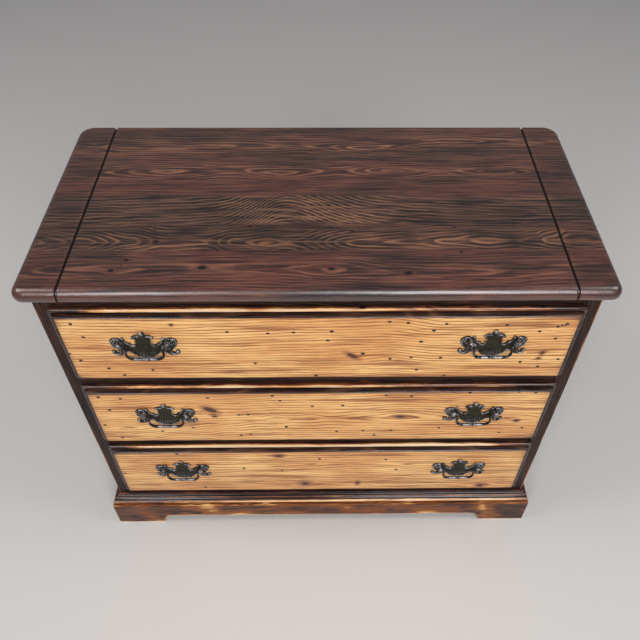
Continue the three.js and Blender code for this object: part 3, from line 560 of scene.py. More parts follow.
def addTopBoard():
    t = topBoard
    halfWidth, front, back = topHigh[0], topLow[1], topHigh[1]
    nose = (topHigh[2] - topLow[2]) / 2
    middle, noseY = topLow[2] + nose, front + nose
    # stations from end to end, closer round the ends and at the edges of the grooves
    turn = np.linspace(0, np.pi / 2, t["endSteps"] + 1)
    endX = halfWidth - nose + nose * np.cos(turn)
    run = np.linspace(nose - halfWidth, halfWidth - nose, int(2 * (halfWidth - nose) / t["cell"]))[1:-1]
    grooveX, steps = halfWidth - t["grooveInset"], t["grooveHalf"] + np.array(t["grooveSteps"])
    run = run[np.abs(np.abs(run) - grooveX) > t["grooveHalf"] + t["grooveClear"]]
    lips = np.concatenate([-steps, steps])
    run = np.sort(np.concatenate([run, grooveX + lips, lips - grooveX]))
    xs = np.concatenate([-endX, run, endX[::-1]])[:, None]
    psi = np.concatenate([turn, np.full(len(run), np.pi / 2), turn[::-1]])[:, None]
    depth = np.interp(np.abs(np.abs(xs) - grooveX), steps[:0:-1], [1, 0.12, 0])
    # one loop: underside forward, up round the nose, then back along the top
    joints = topJoints()
    turned = back - t["cornerRadius"] * (1 - np.sin(np.linspace(0, np.pi / 2, t["cornerSteps"] + 1)[:-1]))
    flat = np.linspace(noseY, turned[0], int((back - noseY) / t["cell"]))[1:-1]
    flat = flat[np.min(np.abs(flat[:, None] - joints), axis=1) > t["jointClear"]]
    seams = [joints - t["jointHalf"], joints + t["jointHalf"]]
    flat = np.sort(np.concatenate([flat, *seams, turned, [back - t["arris"]]]))
    phi = psi * np.linspace(-1, 1, t["noseSteps"] + 1)
    wave = wander(xs, 0 * phi, 5, t["unevenness"], 170, 40)
    opened = smoothStep(phi, *t["grooveStart"])
    radius = nose - t["grooveDepth"] * depth * opened + wave * np.sin(psi) * np.cos(phi)
    lift = nose * np.sin(psi)
    soft = t["arris"] * np.minimum(lift[:, 0], 1)
    # a few rows join the mitre of the nose to the flat
    bridge = np.linspace(0, 1, t["cornerSteps"] + 1)[1:]
    bridgeY = noseY - nose * np.cos(psi) * (1 - bridge)
    topY = np.hstack([bridgeY, np.append(flat, back) + 0 * xs])
    topZ = middle + lift - t["grooveDepth"] * depth + 0 * topY
    topZ[:, -1] -= soft
    under = np.linspace(turned[0], noseY, t["underSteps"])[1:-1]
    under = np.concatenate([[back, back - t["arris"]], turned[::-1], under])
    underY = np.hstack([under + 0 * xs, bridgeY[:, ::-1]])
    underZ = middle - lift + 0 * underY
    underZ[:, 0] += soft

    def loop(below, nosing, above):
        return np.concatenate([below + 0 * underY, nosing + 0 * phi, above + 0 * topY], 1)

    x = loop(xs, xs, xs)
    y = loop(underY, noseY - radius * np.cos(phi), topY)
    z = loop(underZ, middle + radius * np.sin(phi), topZ)
    # grain follows the surface: the nose is unrolled forward of the flat
    unrolled = loop(underY - 60, noseY - nose * (np.pi / 2 - phi), topY)
    figure, tone, knot, thinned = topFigure(x, unrolled)
    # painted shade: the nose is drawn darker than the flat, with weaker lines
    onNose = loop(1, smoothStep(-phi, -1.5, -1.1), 0)
    tone[..., 1] *= 1 - 0.5 * onNose
    tone[..., 2] += (1.7 - tone[..., 2]) * onNose
    # the left arris of each groove is rubbed, and so is the underside of the nose in places
    arris = 0.3 * np.isclose(xs - np.sign(xs) * grooveX, -steps[1], atol=0.05)
    lowNose = 0.12 * np.exp(-((phi + 0.1) / 0.45) ** 2) * (1 + wander(xs, 0 * phi, 8, 0.5, 400, 40))
    values = {
        "figure": figure, "tone": tone, "knot": knot, "stain": 1,
        "wear": loop(0, lowNose, 0) + arris + thinned,
        # painted shade darkens the bottoms of the grooves
        "recessShade": loop(0, opened, 1) * smoothStep(depth, 0.2, 0.9),
    }
    x, y = roundCorners(x, y, halfWidth, front, back, nose)
    shell = loftShell(np.stack([x, y, z], -1))
    addPiece("glued_top_board", pineTop, shell, values, "top_board", smoothAngle=50)


addTopBoard()
print("top board made")


# Boards with softened arrises

board = {
    "arris": 0.9, "guard": 3.0, "station": 45.0, "pitch": 4.2,
    # the face frame's tone is near black: its dark stain, deepened by painted shade so the rails between the
    # drawers look shadowed
    "tone": (0.15, 0.15, 2), "sideTone": (0.45, 0.6, 1), "wear": 0.3,
}


# Each corner becomes a short curve with a guard point on either side, and is marked 1 for wear.
def softenSection(section, radius):
    before, after = np.roll(section, 1, axis=0) - section, np.roll(section, -1, axis=0) - section
    lengths = [np.linalg.norm(side, axis=1, keepdims=True) for side in (before, after)]
    before, after = before / lengths[0], after / lengths[1]
    guards = [np.minimum(0.4 * length, radius + board["guard"]) for length in lengths]
    bends = [np.minimum(0.3 * length, radius) for length in lengths]
    start, end = section + before * bends[0], section + after * bends[1]
    middle = 0.25 * start + 0.5 * section + 0.25 * end
    loop = np.stack([section + before * guards[0], start, middle, end, section + after * guards[1]], 1)
    mask = np.broadcast_to([0.0, 0.8, 1.0, 0.8, 0.0], loop.shape[:2])
    return loop.reshape(-1, 2), mask.ravel()


# A softened section carried along one axis, with both ends eased in.
def addBoard(node, section, axis, ends, seed, outerRubbed, tone):
    arris = board["arris"]
    loop, mask = softenSection(np.array(section, float), arris)
    count = max(3, int((ends[1] - ends[0]) / board["station"]))
    along = np.concatenate([[ends[0]], np.linspace(ends[0] + arris, ends[1] - arris, count), [ends[1]]])
    inward = loop.mean(0) - loop
    inward = inward / np.linalg.norm(inward, axis=1, keepdims=True)
    rings = np.empty((len(along), len(loop), 3))
    others = [k for k in range(3) if k != axis]
    rings[..., axis] = along[:, None]
    rings[..., others] = loop
    for end in (0, -1):
        rings[end][:, others] += inward * arris
    u, v, w = (rings[..., k] for k in (axis, *others))
    figure = (0.8 * v + 0.55 * w + 0.012 * u) / board["pitch"] + wander(u, v, seed, 1.1, 420, 90)
    edges = mask + 0 * u
    edges[[0, -1]] = 0.8
    wear = caseWear(rings) if outerRubbed else board["wear"]
    values = {"figure": figure, "tone": tone, "wear": edges ** 2 * wear, "stain": 1}
    addPiece(f"planed_{node}", pineOfGrain[axis], loftShell(rings), values, node)


# Outer front arrises of the case are rubbed most, and more so near the floor.
def caseWear(points):
    outer = smoothStep(np.abs(points[..., 0]), caseHalf - 6, caseHalf - 2)
    front = smoothStep(-points[..., 1], -faceY - 6, -faceY - 2)
    return outer * front * (0.2 + 0.35 * smoothStep(-points[..., 2], -620, -150)) + 0.2


def addFrameBoards():
    boards = (
        ("stile_left", 2, 60), ("stile_right", 2, 61), ("top_rail", 0, 70), ("rail_upper", 0, 71),
        ("rail_lower", 0, 72), ("bottom_rail", 0, 73),
    )
    for node, axis, seed in boards:
        low, high = nodeBox(node)
        a, b = [k for k in range(3) if k != axis]
        section = [(low[a], low[b]), (high[a], low[b]), (high[a], high[b]), (low[a], high[b])]
        # stiles and rails take the frame tone, with its painted shade
        addBoard(node, section, axis, (low[axis], high[axis]), seed, axis == 2, board["tone"])
    backLow, backHigh = nodeBox("back_panel")
    rabbet, shoulder = backHigh[0] + clearance, backLow[1] - clearance
    for node, side, seed in (("side_left", -1, 80), ("side_right", 1, 81)):
        low, high = nodeBox(node)
        inner = min(abs(low[0]), abs(high[0]))
        section = np.array([
            (caseHalf, low[1]), (caseHalf, high[1]), (rabbet, high[1]),
            (rabbet, shoulder), (inner, shoulder), (inner, low[1]),
        ]) * [side, 1]
        addBoard(node, section, 2, (low[2], high[2]), seed, False, board["sideTone"])


addFrameBoards()
print("case boards made")


# Base moulding: torus, quirk, bead, cavetto and top fillet, mitred at the front corners.

moulding = {
    "height": 30.0, "depth": 15.5, "torus": 5.5, "torusLift": 3.0, "bead": 3.2, "beadLift": 20.4,
    "beadReach": 7.03, "filletReach": 3.5, "filletHeight": 2.0, "arris": 0.4, "steps": 10, "station": 22.0,
    "ringPitch": 4.0, "tone": (0.35, 0.15, 1.7),
}


# Distance out from the case and height above the plinth, with the rubbed crests marked and the painted shade
# in the quirks.
def mouldingProfile():
    m = moulding
    quarter, steps, radius = np.pi / 2, m["steps"], m["torus"]
    torus = halfRound(m["depth"] - radius, m["torusLift"] + radius, radius, -quarter, quarter, steps)
    bead = halfRound(m["beadReach"], m["beadLift"], m["bead"], -quarter, quarter, steps)
    coveLow, coveHigh = m["beadLift"] + m["bead"], m["height"] - m["filletHeight"]
    angle = np.linspace(0, quarter, steps + 1)[1:]
    coveReach = m["beadReach"] - (m["beadReach"] - m["filletReach"]) * np.sin(angle)
    cove = np.column_stack([coveReach, coveHigh - (coveHigh - coveLow) * np.cos(angle)])
    base = [[0, 0], [m["depth"] - m["torus"] - 0.5, 0]]
    reach, top, arris = m["filletReach"], m["height"], m["arris"]
    lid = [[reach, top - arris], [reach - arris, top], [0, top]]
    around = np.linspace(-1, 1, steps + 1)
    middle = np.exp(-((around - 0.3) / 0.36) ** 2)
    ends = np.exp(-((1 - np.abs(around)) / 0.12) ** 2)
    crest = np.concatenate([[0, 0.2], 0.88 * middle, 0.5 * middle, 0 * angle, [0.3, 0.3, 0]])
    # painted shade in the quirks: at the ends of the torus and bead and the foot of the cavetto
    quirkShade = np.concatenate([[0, 0], ends, ends, np.exp(-np.arange(steps) / 1.5), [0, 0, 0]])
    return np.concatenate([base, torus, bead, cove, lid]), crest, 0.85 * quirkShade


def addMoulding(part, side, seed):
    m = moulding
    profile, crest, quirkShade = mouldingProfile()
    low, high = nodeBox(f"moulding_{part}")
    reach = profile[:, 0]
    if side == 0:
        x = np.linspace(-1, 1, int(2 * caseHalf / m["station"]))[:, None] * (caseHalf + reach)
        y = faceY - clearance - reach + 0 * x
        along, kept = x, 1 - smoothStep(-x, 230, 380)
    else:
        share = np.linspace(0, 1, int((high[1] - low[1]) / m["station"]))[:, None]
        y = (faceY - reach) * (1 - share) + backY * share
        x = side * (caseHalf + clearance + reach) + 0 * y
        along, kept = y, 0.7 + 0 * y
    across = np.append(0, np.cumsum(np.hypot(*np.diff(profile, axis=0).T)))
    values = {
        "figure": across / m["ringPitch"] + wander(along, across, seed, 0.8, 300, 60), "stain": 1,
        "tone": m["tone"], "wear": crest * (0.55 + 0.45 * kept), "recessShade": quirkShade + 0 * x,
    }
    shell = loftShell(np.stack([x, y, profile[:, 1] + low[2] + 0 * x], -1))
    material = pineMouldedSide if side else pineMoulded
    addPiece(f"moulded_{part}_base_moulding", material, shell, values, f"moulding_{part}")


for seed, (part, side) in enumerate((("front", 0), ("left", -1), ("right", 1)), 90):
    addMoulding(part, side, seed)
print("base moulding made")


# Plinth boards with bracket feet

plinth = {
    "height": 78.0, "thickness": 18.0, "foot": 100.0, "footSteps": 6, "archHeight": 30.0, "archRun": 26.0,
    "archSteps": 19, "runShares": (0.0, 0.06, 0.28, 1.0), "riseShares": (0.0, 0.72, 1.0, 1.0),
    "station": 24.0, "arris": 1.2, "guard": 4.0, "ringPitch": 4.6, "tone": (0.5, 0.8, 1.2),
    # the section from the inner foot round the outside: points pulled in and moved up or down, in
    # arrises, and the wear of each; the lower front arris is rubbed to bare wood
    "pullIn": (0, 1, 0.29, 0, 0, 0, 0, 0, 0.29, 1, 0), "rise": (0, 0, 0.3, 1, 1, -1, -1, -1, -0.3, 0, 0),
    "edge": (0.2, 0.7, 1, 0.8, 0, 0, 0.6, 0.8, 1, 0.7, 0), "lowEdge": (0, 0.3, 0.5, 0.3, 0, 0, 0, 0, 0, 0, 0),
}


# Distance from the board's end and height of the lower edge: foot, bracket curve, level arch.
def bracketEdge(halfLength):
    p = plinth
    t = np.linspace(0, 1, p["archSteps"])[:, None]
    weights = np.hstack([(1 - t) ** 3, 3 * t * (1 - t) ** 2, 3 * t ** 2 * (1 - t), t ** 3])
    run = p["foot"] + p["archRun"] * weights @ np.array(p["runShares"])
    rise = p["archHeight"] * weights @ np.array(p["riseShares"])
    foot = np.linspace(0, p["foot"], p["footSteps"])[:-1]
    count = max(3, int((halfLength - run[-1]) / p["station"]))
    level = np.linspace(run[-1], halfLength, count)[1:]
    height = np.concatenate([0 * foot, rise, 0 * level + p["archHeight"]])
    return np.concatenate([foot, run, level]), height


def addPlinth(part, side, seed):
    p = plinth
    start, end = faceY - p["thickness"], backY
    if side == 0:
        start, end = -caseHalf - p["thickness"], caseHalf + p["thickness"]
    fromEnd, height = bracketEdge((end - start) / 2)
    along = np.concatenate([start + fromEnd, (end - fromEnd[::-1])[1:]])[:, None]
    bottom = np.concatenate([height, height[::-1][1:]])[:, None]
    out = p["thickness"] - p["arris"] * np.array(p["pullIn"])
    out[[0, -1]] = 0
    rise = p["arris"] * np.array(p["rise"])
    rise[4:6] += [p["guard"], -p["guard"]]
    z = np.where(np.arange(len(out)) < 5, bottom, p["height"]) + rise
    u, v = along + 0 * z, z - out * 0.6
    wear = 0.58 * np.array(p["edge"])
    if side == 0:
        x = np.sign(u) * np.minimum(np.abs(u), caseHalf + out)
        y = faceY - clearance - out + 0 * z
        amount = 0.33 + 0.3 * wander(u, v, seed, 1.0, 150, 60)
        wear = wear + p["lowEdge"]
    else:
        x = side * (caseHalf + clearance + out) + 0 * z
        y = np.maximum(u, faceY - out)
        amount = 0.2
    middle = smoothStep(np.minimum(u - start, end - u), 20, 150)
    values = {
        "figure": v / p["ringPitch"] + wander(u, v, seed + 3, 1.6, 260, 50), "stain": 1, "tone": p["tone"],
        "wear": np.maximum(amount * (0.5 + 0.5 * middle), wear),
    }
    shell = loftShell(np.stack([x, y, z], -1))
    addPiece(f"sawn_plinth_{part}", pineOfGrain[abs(side)], shell, values, f"plinth_{part}")


for seed, (part, side) in enumerate((("front", 0), ("left", -1), ("right", 1)), 100):
    addPlinth(part, side, seed)
print("plinth made")


# Drawer fronts

drawerFront = {
    "bead": 4.0, "beadTop": 4.0, "quirkWidth": 0.8, "quirkLevel": 6.2, "fieldInset": 12.0, "standOff": 15.5,
    "beadSteps": 10, "ovoloSteps": 7, "rebate": 6.5, "bodyInset": 9.5, "cell": 4.4, "corner": 4.0,
    "pitch": 7.4, "power": 1.06, "endRing": 0.3, "tone": (0.2, 0.3, 1.5),
    # insets and half widths of the bead's rubbed crest and of the painted shade in the quirk
    "crestInset": 3.2, "crestHalf": 3.6, "quirkShadeInset": 8.4, "quirkShadeHalf": 0.5, "waviness": 0.18,
    # half length and half width of a worm fleck and a dent, and how far out each mark is looked for
    "fleck": (3.1, 2.5), "dent": (5.0, 1.1), "fleckReach": 7.5, "knotReach": 26,
}
# Picture points. Hearts carry a depth in rings, knots a half length, half width and turn, streaks
# those sizes and a strength, and "crest" is how far the bead is rubbed at its left and right.
frontFigures = {
    "upper": {
        "seed": 201, "crest": (0.92, 0.5),
        "heart": (
            (20, 303, 0), (150, 304, 1.0), (300, 302, 0.2), (395, 300, 2.2), (450, 304, 0.4), (640, 302, 0),
        ),
        "knots": (
            (352.5, 356, 11, 4.2, -0.65), (542.3, 352.9, 5, 3.6, 0.8), (538.3, 358.2, 4, 3),
            (171, 325, 3, 2.5),
        ),
        "flecks": (
            (83.3, 337.4), (70.4, 324.2), (80.9, 360.6), (69.4, 353.7), (109, 368.5), (124.8, 375),
            (152.9, 370), (227, 331.9), (267.7, 333.5), (255.3, 363.2), (293.4, 332.5), (327.8, 340.4),
            (316, 375.4), (389.7, 322), (408.3, 323), (446.8, 323.8), (434.2, 330.5), (507.3, 325),
            (558.1, 326.6), (567.6, 324), (539.7, 331.3), (555.5, 338.6), (331.7, 331.5), (421.1, 341.8),
            (362.8, 353.5), (390, 358.8), (411, 357.2), (440.5, 357.8), (416.4, 369.7), (443.8, 375),
            (520, 361.8), (537.4, 366.3), (558, 359.2),
        ),
        "streaks": (
            (233.5, 372, 20, 6, 0.75), (108, 363, 34, 4, 0.4), (190, 364, 60, 4, 0.35),
            (400, 361, 14, 4, 0.5), (463, 360.6, 10, 4, 0.4), (162, 329, 16, 5, 0.3),
            (300, 362, 50, 5, 0.25), (345, 362, 30, 5, 0.3),
        ),
        "dents": ((257.9, 308.8), (362.4, 309.2), (452.7, 307.8), (544.3, 308.2)),
    },
    "middle": {
        "seed": 221, "crest": (0.8, 0.55),
        "heart": (
            (60, 428, -2), (110, 427.5, 0), (137, 427, 1.0), (185, 424, 1.6), (231, 421.5, 2.0),
            (262, 420, 2.6), (277, 419, 2.1), (293, 419, 2.6), (311, 418.7, 2.2), (330, 418.5, 2.8),
            (400, 417, 1.8), (470, 418.5, 2.6), (600, 420, 3.2),
        ),
        "knots": (
            (210.4, 410, 12, 6, -0.6), (400.4, 416.5, 10, 5, -0.1), (516.3, 420.3, 5, 4),
            (214.6, 416.5, 4, 2.6),
        ),
        "flecks": (
            (98.2, 397.2), (120.3, 398.9), (207.6, 398), (272.2, 395.8), (280, 400.7), (239, 415),
            (248.2, 414.8), (286.4, 426.8), (250.6, 434), (241.2, 435.4), (193.5, 427.7), (162.8, 431),
            (122.5, 437.7), (105, 425), (109.6, 410), (342.7, 405.6), (363.7, 392.7), (386.3, 395.3),
            (411.6, 396.2), (470, 392.7), (519.6, 391.9), (535.9, 392.7), (336.7, 431.5), (362.9, 430.6),
            (374, 435), (391, 430.3), (438.8, 427.7), (498.9, 432.3), (521.8, 427.7), (312.3, 406.2),
        ),
        "streaks": (
            (277, 419, 17, 4, 0.6), (311.4, 418.7, 15, 4, 0.5), (258, 434.6, 22, 6, 0.35),
            (384, 431, 22, 6, 0.3), (453, 399.3, 14, 4, 0.45), (357, 418, 45, 4, 0.35),
            (108, 409, 20, 4, 0.3), (110, 434, 14, 5, 0.35),
        ),
        "dents": (),
    },
    "lower": {
        "seed": 241, "crest": (1.1, 1.2),
        "heart": (
            (80, 466, 0), (130, 465, 0.7), (240, 466, 0.1), (351, 464, 1.2), (430, 465, 0.4), (570, 466, 0),
        ),
        "knots": ((278.7, 456.1, 9, 6), (305.4, 483.7, 10, 7.5), (357.4, 482.8, 4, 7), (479.6, 485, 9, 7)),
        "flecks": (
            (176.8, 454), (244, 468.2), (281.8, 470.2), (319.5, 459), (205.5, 487.1), (125.4, 473.3),
            (385.8, 459.5), (396.1, 469.4),
        ),
        "streaks": (
            (128, 461, 26, 4, 0.5), (131, 466, 16, 4, 0.5), (160, 465, 16, 4, 0.45), (351, 464, 22, 4, 0.35),
            (210, 470, 60, 4, 0.3), (330, 482, 400, 9, 0.4), (200, 486, 90, 4, 0.3), (420, 486, 60, 5, 0.3),
        ),
        "dents": (),
    },
}


# Inset from the lip's edge and distance in front of the frame: bead, quirk, ovolo up to the field.
def frontProfile():
    d = drawerFront
    bead = halfRound(d["bead"], d["beadTop"], d["bead"], np.pi, 0, d["beadSteps"])
    width = d["fieldInset"] - 2 * d["bead"] - d["quirkWidth"]
    angle = np.linspace(0, np.pi / 2, d["ovoloSteps"] + 1)
    rise = d["quirkLevel"] + (d["standOff"] - d["quirkLevel"]) * np.sin(angle)
    ovolo = np.column_stack([d["fieldInset"] - width * np.cos(angle), rise])
    profile = np.concatenate([bead, ovolo])
    profile[:, 0] += np.arange(len(profile)) * 1e-4
    return profile


# Places from edge to edge of a front, and the ring of the moulding that each lies on.
def frontLine(half, profile):
    field = half - drawerFront["fieldInset"] - 0.35
    inner = np.linspace(-field, field, int(2 * field / drawerFront["cell"]) + 1)
    rings = np.arange(len(profile))
    line = np.concatenate([profile[:, 0] - half, inner, half - profile[::-1, 0]])
    return line, np.concatenate([rings, np.full(len(inner), len(profile)), rings[::-1]])


# A mitred frame of moulding round a flat field, all on one grid of columns and rows, with a
# rebated body behind its lip. Also gives each point's inset, those on the uprights of the frame,
# and how many points lie behind the lip.
def frontShell(halfWidth, halfHeight, middle, seed):
    d, profile = drawerFront, frontProfile()
    xs, columnRing = frontLine(halfWidth, profile)
    zs, rowRing = frontLine(halfHeight, profile)
    columnRing = columnRing[:, None]
    ring = np.minimum(columnRing, rowRing)
    moulded, onSide = ring < len(profile), columnRing < rowRing
    inset = np.append(profile[:, 0], d["fieldInset"] + 1)[ring]
    x, z = xs[:, None] + 0 * inset, zs + 0 * inset
    # each ring's corner is rounded by pulling its last few points inwards, at most by the 0.293 of
    # the radius that a round corner lies inside a square one
    alongX, alongZ = halfWidth - np.abs(x) - inset, halfHeight - np.abs(z) - inset
    radius = np.maximum(d["corner"] - inset, 1.0) * moulded
    pullX, pullZ = (
        0.293 * radius * np.clip(1 - gap / np.maximum(radius, 0.01), 0, 1) ** 2 for gap in (alongZ, alongX)
    )
    x -= np.sign(x) * pullX * (columnRing <= rowRing)
    z -= np.sign(z) * pullZ * (columnRing >= rowRing)
    upright = wander(z, x, seed + 8, d["waviness"], 90, 30)
    waves = np.where(onSide, upright, wander(x, z, seed + 9, d["waviness"], 90, 30)) * moulded
    front = np.stack([x, faceY - np.append(profile[:, 1], d["standOff"])[ring] - waves, z + middle], -1)
    columns, rows = x.shape
    index = np.arange(columns * rows).reshape(columns, rows)
    quads = np.stack([index[:-1, :-1], index[1:, :-1], index[1:, 1:], index[:-1, 1:]], -1).reshape(-1, 4)
    # behind the lip: back of the bead, then the rebated body down to its flat rear
    last = np.concatenate([index[:, 0], index[-1, 1:], index[-2::-1, -1], index[0, -2:0:-1]])
    points, faces = front.reshape(-1, 3), quads.tolist()
    rim, body, rear = points[last] - [0, 0, middle], d["bodyInset"], -d["rebate"]
    for inwards, forward in ((1.0, 0.3), (body, 0.3), (body + 0.01, rear + 0.5), (body + 0.5, rear)):
        scale = [1 - inwards / halfWidth, 0, 1 - inwards / halfHeight]
        new = np.arange(len(last)) + len(points)
        points = np.concatenate([points, rim * scale + [0, faceY - forward, middle]])
        faces += np.stack([np.roll(last, -1), last, new, np.roll(new, -1)], -1).tolist()
        last = new
    faces.append(last[::-1].tolist())
    behind = len(points) - columns * rows
    insets, onUpright = np.append(inset, np.zeros(behind)), np.append(onSide, np.zeros(behind, bool))
    return (points, faces), insets, onUpright, behind


def addDrawerFront(name):
    d, marks = drawerFront, frontFigures[name]
    low, high = nodeBox(f"{name}_drawer_front")
    halfWidth, halfHeight, middle = high[0], (high[2] - low[2]) / 2, (high[2] + low[2]) / 2
    shell, insets, onUpright, behind = frontShell(halfWidth, halfHeight, middle, marks["seed"])
    u, v = shell[0][:, 0], shell[0][:, 2]
    plane = faceY - d["standOff"]
    heart, knots = (pixelMarks(marks[key], 1, plane) for key in ("heart", "knots"))
    flecks = pixelMarks([spot + d["fleck"] for spot in marks["flecks"]], 1, plane)
    if marks["dents"]:
        spots = [spot + d["dent"] for spot in marks["dents"]]
        flecks = np.concatenate([flecks, pixelMarks(spots, 1, faceY - 2 * d["bead"])])
    figure, _ = heartFigure(u, bendRoundKnots(u, v, knots), heart, d["pitch"], d["power"], marks["seed"])
    # the stained ends are smooth: their rings are filled and polished away
    figure[onUpright & (insets < d["fieldInset"] + 0.5)] = d["endRing"]
    # brown residue was left along the field's border and in its corners
    sides = halfWidth - d["fieldInset"] - np.abs(u)
    ends = halfHeight - d["fieldInset"] - np.abs(v - middle)
    border = np.minimum(sides, ends)
    residue = 0.45 * np.exp(-border / 3.0) + 0.55 * np.exp(-np.hypot(sides, ends) / 11)
    shade = residue * (border > 0)
    for place, level, halfLong, halfWide, amount in pixelMarks(marks["streaks"], 1, plane):
        shade += amount * np.exp(-((u - place) / halfLong) ** 2 - ((v - level) / halfWide) ** 2)
    # the bead's crest is rubbed most near the top edge, and the field's arris at the ends
    inward = smoothStep(halfWidth - np.abs(u), 15, 110)
    topEdge = smoothStep(v - middle, 0, halfHeight * 0.7)
    leftCrest, rightCrest = marks["crest"]
    amount = leftCrest + (rightCrest - leftCrest) * smoothStep(u, -40, 220)
    crest = np.exp(-((insets - d["crestInset"]) / d["crestHalf"]) ** 4) * amount
    crest *= (0.1 + 0.9 * inward) * (0.5 + 0.5 * topEdge)
    arris = np.exp(-((insets - d["fieldInset"]) / 0.35) ** 2) * np.maximum(0.5 * inward, 0.8 * onUpright)
    wear = np.maximum(crest, arris)
    wear[-behind:] = 0.15
    values = {
        "figure": figure, "wear": wear, "shade": np.clip(shade, 0, 0.9), "tone": d["tone"],
        "stain": 1 - smoothStep(insets, d["fieldInset"] + 0.1, d["fieldInset"] + 0.6),
        # painted shade darkens the quirk between the bead and the ovolo
        "recessShade": 0.8 * np.exp(-((insets - d["quirkShadeInset"]) / d["quirkShadeHalf"]) ** 2),
        "knot": nearestMark(u, v, knots, d["knotReach"]), "fleck": nearestMark(u, v, flecks, d["fleckReach"]),
    }
    node = f"{name}_drawer_front"
    addPiece(f"moulded_{node}", pineMoulded, shell, values, node, f"{name}_drawer")


for name in drawerNames:
    addDrawerFront(name)
print("drawer fronts made")


# Pulls: a cast bat-wing plate, two headed posts and a hanging bail

pull = {
    "inset": 137.5, "postHalf": 38.0, "halfWidth": 55.0, "rise": 24.5, "drop": 39.5, "plate": 2.2, "gap": 0.3,
    # the plate's edge step by step: distance in, fall from its face and how far it is rubbed
    "samples": 6, "chamfer": ((0.0, 0.9, 0.9), (0.25, 0.45, 0.8), (0.6, 0.15, 0.4), (1.0, 0.0, 0.0)),
    # half outline from the crown to the foot, in shares of half width and height; runs meet in cusps
    "outline": (
        ((0, 1), (0.066, 0.975), (0.093, 0.917), (0.082, 0.874)),
        ((0.082, 0.874), (0.19, 0.88), (0.285, 0.83), (0.322, 0.775), (0.29, 0.735), (0.232, 0.742)),
        ((0.232, 0.742), (0.208, 0.66), (0.21, 0.565), (0.262, 0.502), (0.34, 0.51), (0.395, 0.573)),
        ((0.395, 0.573), (0.468, 0.598), (0.522, 0.66), (0.552, 0.778), (0.612, 0.778), (0.655, 0.73)),
        ((0.655, 0.73), (0.75, 0.772), (0.87, 0.755), (0.962, 0.672), (0.965, 0.55), (0.895, 0.408),
         (0.79, 0.31)),
        ((0.79, 0.31), (0.782, 0.24), (0.83, 0.207), (0.87, 0.26), (0.925, 0.3), (0.99, 0.262),
         (0.982, 0.165), (0.88, 0.098), (0.75, 0.09), (0.64, 0.145), (0.565, 0.245)),
        ((0.565, 0.245), (0.49, 0.29), (0.415, 0.262), (0.35, 0.17), (0.305, 0.1)),
        ((0.305, 0.1), (0.235, 0.035), (0.12, 0.006), (0, 0)),
    ),
    # raised ribs of the right half: radius, then points across and up from the post line
    "ribs": (
        (1.1, ((4, 13.5), (9, 14.6), (13.5, 12.6), (15.2, 10.2))),
        (1.1, ((12.2, 6), (12.6, -3), (15.2, -9), (19.5, -9.2), (23.5, -4.8), (27.5, -1.5), (30.5, 5))),
        (1.2, ((35.6, 5.2), (41, 7.9), (47.2, 6.9), (51, 2.6), (51.2, -4.2), (47.4, -12.4), (42.2, -18))),
        (1.0, ((43.4, 3.4), (47.2, 1.4), (47.6, -3.2), (44.6, -5.6), (42.2, -4))),
        (1.3, ((41, -21), (41.4, -27), (45.4, -30.2), (50, -28.8), (51.2, -25))),
        (1.0, ((38.5, -28.6), (33.6, -27), (29.5, -22.6), (25.5, -22.4), (21.4, -26.4), (17.6, -31.6))),
        (1.1, ((15.6, -32.4), (11.8, -35.6), (6, -37.2), (-0.4, -37.5))),
        (0.5, ((4, -25), (4.6, -31), (6, -36))),
        (0.5, ((8, -24.5), (9.4, -30), (11.2, -34))),
        (0.5, ((12, -22.5), (13.8, -27), (15.2, -31))),
        (0.8, ((36.5, -8.5), (38.5, -15), (41, -20.5))),
        (0.8, ((32.8, -8), (32.6, -15), (33.4, -23))),
    ),
    # raised balls of the right half: across, up, radius
    "balls": (
        (14.6, 11.0, 2.9), (32.2, 8.4, 2.2), (39.6, 6.6, 1.9), (44.8, 7.4, 2.0), (49.4, 4.6, 1.9),
        (51.0, -24.2, 3.1), (9.2, 14.0, 1.7), (22.6, -5.2, 1.5),
    ),
    "crown": (0.0, 21.5, 4.4), "spine": (0.6, ((0.01, -24), (0, -30), (0.01, -36.6))), "flat": 0.85,
    "shank": 2.5, "nut": 5.0, "nutHeight": 4.0, "frontInside": 22.3, "collar": 4.6, "collarHeight": 1.2,
    "neck": 3.1, "head": 5.0, "headFlat": 0.9, "pivot": 9.8, "postSides": 28,
    "socket": 2.15, "socketEnd": 0.9, "socketSides": 20,
    "bailDrop": 33.5, "bailHalfSpan": 30.2, "cornerRadius": 12.0, "bendRadius": 2.2, "arm": 1.9, "grip": 2.6,
    "pin": 1.6, "pinReach": 4.2, "ring": 3.3, "ringPitch": 2.4, "rings": 5, "ringCell": 0.24, "bailSides": 20,
}


# Smooth curve through its points (Catmull-Rom), in equal shares of each span.
def smoothRun(points, samples):
    points = np.array(points, float)
    padded = np.concatenate([[2 * points[0] - points[1]], points, [2 * points[-1] - points[-2]]])
    t = np.linspace(0, 1, samples, endpoint=False)[None, :, None]
    a, b, c, d = (padded[k:len(padded) - 3 + k][:, None] for k in range(4))
    curve = 2 * b + (c - a) * t + (2 * a - 5 * b + 4 * c - d) * t ** 2 + (3 * b - a - 3 * c + d) * t ** 3
    return np.concatenate([0.5 * curve.reshape(-1, points.shape[1]), points[-1:]])


def ballShell(across, up, radius, level, steps=9, sides=16):
    lat = np.linspace(-np.pi / 2, np.pi / 2, steps)[:, None]
    lon = np.linspace(0, 2 * np.pi, sides, endpoint=False)
    out = level - pull["flat"] * radius * np.sin(lat) + 0 * lon
    x, z = across + radius * np.cos(lat) * np.cos(lon), up + radius * np.cos(lat) * np.sin(lon)
    return loftShell(np.stack([x, out, z], -1))


